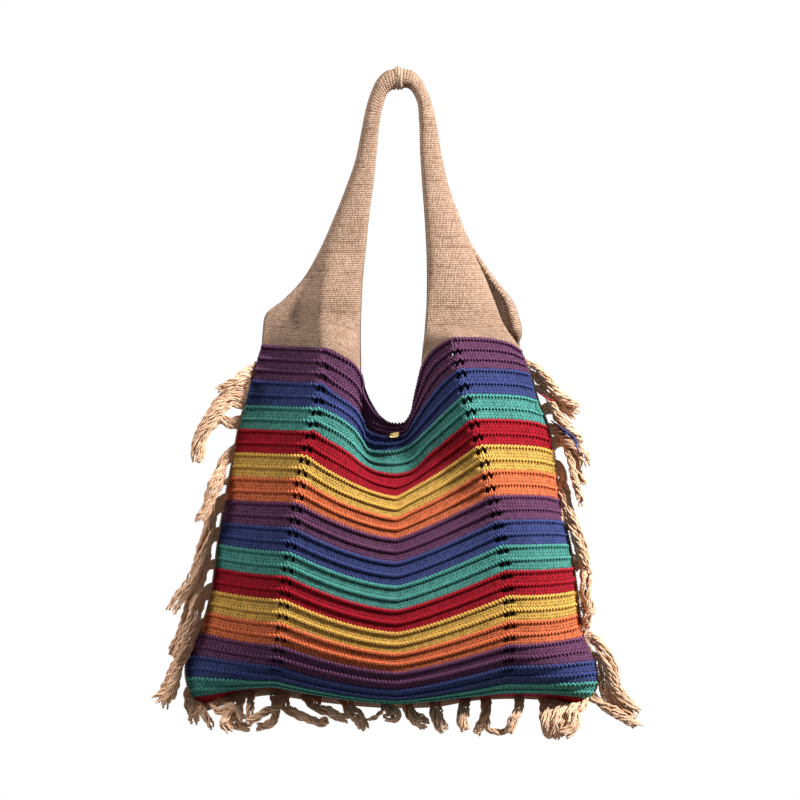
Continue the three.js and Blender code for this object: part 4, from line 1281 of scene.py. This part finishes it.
class TOTE_OT_stage(Operator):
    """Set the camera, the lamps, the sky and the floor"""

    bl_idname = "tote.stage"
    bl_label = "Stage"

    def execute(self, context):
        scene, stage = context.scene, context.scene.tote_stage
        lens = bpy.data.cameras.new("front_camera")
        lens.lens, lens.sensor_width = LENS, SENSOR
        camera = new_object("front_camera", lens)
        camera.location = (EYE_X, -EYE_DISTANCE, EYE_Z)
        camera.rotation_euler = (math.pi / 2, 0, 0)
        scene.camera = camera
        for name, (azimuth, height, distance, size) in LAMPS.items():
            lamp = bpy.data.lights.new(name, "AREA")
            lamp.energy, lamp.size = getattr(stage, name + "_power"), size
            turn, rise = math.radians(azimuth), math.radians(height)
            flat = math.cos(rise)
            way = Vector((math.sin(turn) * flat, -math.cos(turn) * flat, math.sin(rise)))
            held = new_object(name, lamp)
            held.location = LAMP_TARGET + way * distance
            held.rotation_euler = way.to_track_quat("Z", "Y").to_euler()
        scene.world = bpy.data.worlds.new("studio")
        scene.world.use_nodes = True
        self.light_sky(scene.world.node_tree, stage.sky)
        scene.view_settings.view_transform = "Standard"
        self.lay_floor(SOLID_LOW.z - stage.floor_drop, stage.floor_radius)
        return {"FINISHED"}

    def light_sky(self, tree, strength):
        """A sky that is brighter above lights the bag, and the eye and mirrors see plain white."""
        weave = Weaver(tree)
        sky = tree.nodes["Background"]
        sky.inputs["Strength"].default_value = strength
        way = weave.read("ShaderNodeTexCoord", "Generated")
        weave.feed(sky.inputs["Color"], weave.read("ShaderNodeSeparateXYZ", "Z", {"Vector": way}) * 0.5 + 0.5)
        white = weave.read("ShaderNodeBackground", "Background", {"Color": (1, 1, 1, 1), "Strength": 1.0})
        ray = weave.wires(weave.node("ShaderNodeLightPath"))
        seen = ray["Is Camera Ray"].at_least(ray["Is Glossy Ray"]).at_least(ray["Is Transmission Ray"])
        shaders = {"Fac": seen, "Shader": weave.wires(sky)["Background"], "Shader_001": white}
        both = weave.read("ShaderNodeMixShader", "Shader", shaders)
        weave.feed(tree.nodes["World Output"].inputs["Surface"], both)

    def lay_floor(self, level, radius):
        """A round pale floor that fades into the white round it."""
        profile = [(radius / MM * ring / FLOOR_RINGS, 0) for ring in range(FLOOR_RINGS + 1)]
        mesh = turned("floor", profile, (0, 0, level), (0, 0, 1), FLOOR_SIDES)
        pale = Finish("pale_floor", roughness=0.9)
        pale.shader["Base Color"].default_value = (0.8, 0.8, 0.8, 1)
        flat = pale.vector("MULTIPLY", pale.read("ShaderNodeTexCoord", "Object"), (1, 1, 0))
        away = pale.read("ShaderNodeVectorMath", "Value", {"Vector": flat}, operation="LENGTH")
        fade = 1 - ((away - radius * 0.55) / (radius * 0.42)).at_least(0)
        pale.feed(pale.shader["Alpha"], fade.at_least(0))
        dressed("floor", mesh, pale.material)


class TOTE_PT_panel(Panel):
    """The bag's sizes, colours and steps"""

    bl_idname = "TOTE_PT_panel"
    bl_label = "Knitted tote bag"
    bl_space_type = "VIEW_3D"
    bl_region_type = "UI"
    bl_category = "Tote"

    def draw(self, context):
        for group in GROUPS:
            held = getattr(context.scene, group)
            box = self.layout.box()
            for key in held.__annotations__:
                box.prop(held, key)
        for step in STEPS:
            self.layout.operator(step.bl_idname)


STEPS = (TOTE_OT_stage, TOTE_OT_panels, TOTE_OT_strap, TOTE_OT_tape, TOTE_OT_fringe, TOTE_OT_snap)
GROUPS = {"tote_colours": ToteColours, "tote_knit": ToteKnit, "tote_fringe": ToteFringe,
          "tote_stage": ToteStage}


def register():
    for kind in (*GROUPS.values(), *STEPS, TOTE_PT_panel):
        bpy.utils.register_class(kind)
    for key, kind in GROUPS.items():
        setattr(bpy.types.Scene, key, PointerProperty(type=kind))


def unregister():
    for key in GROUPS:
        delattr(bpy.types.Scene, key)
    for kind in reversed((*GROUPS.values(), *STEPS, TOTE_PT_panel)):
        bpy.utils.unregister_class(kind)


def main():
    register()
    for step in STEPS:
        group, name = step.bl_idname.split(".")
        getattr(getattr(bpy.ops, group), name)()


if __name__ == "__main__":
    main()
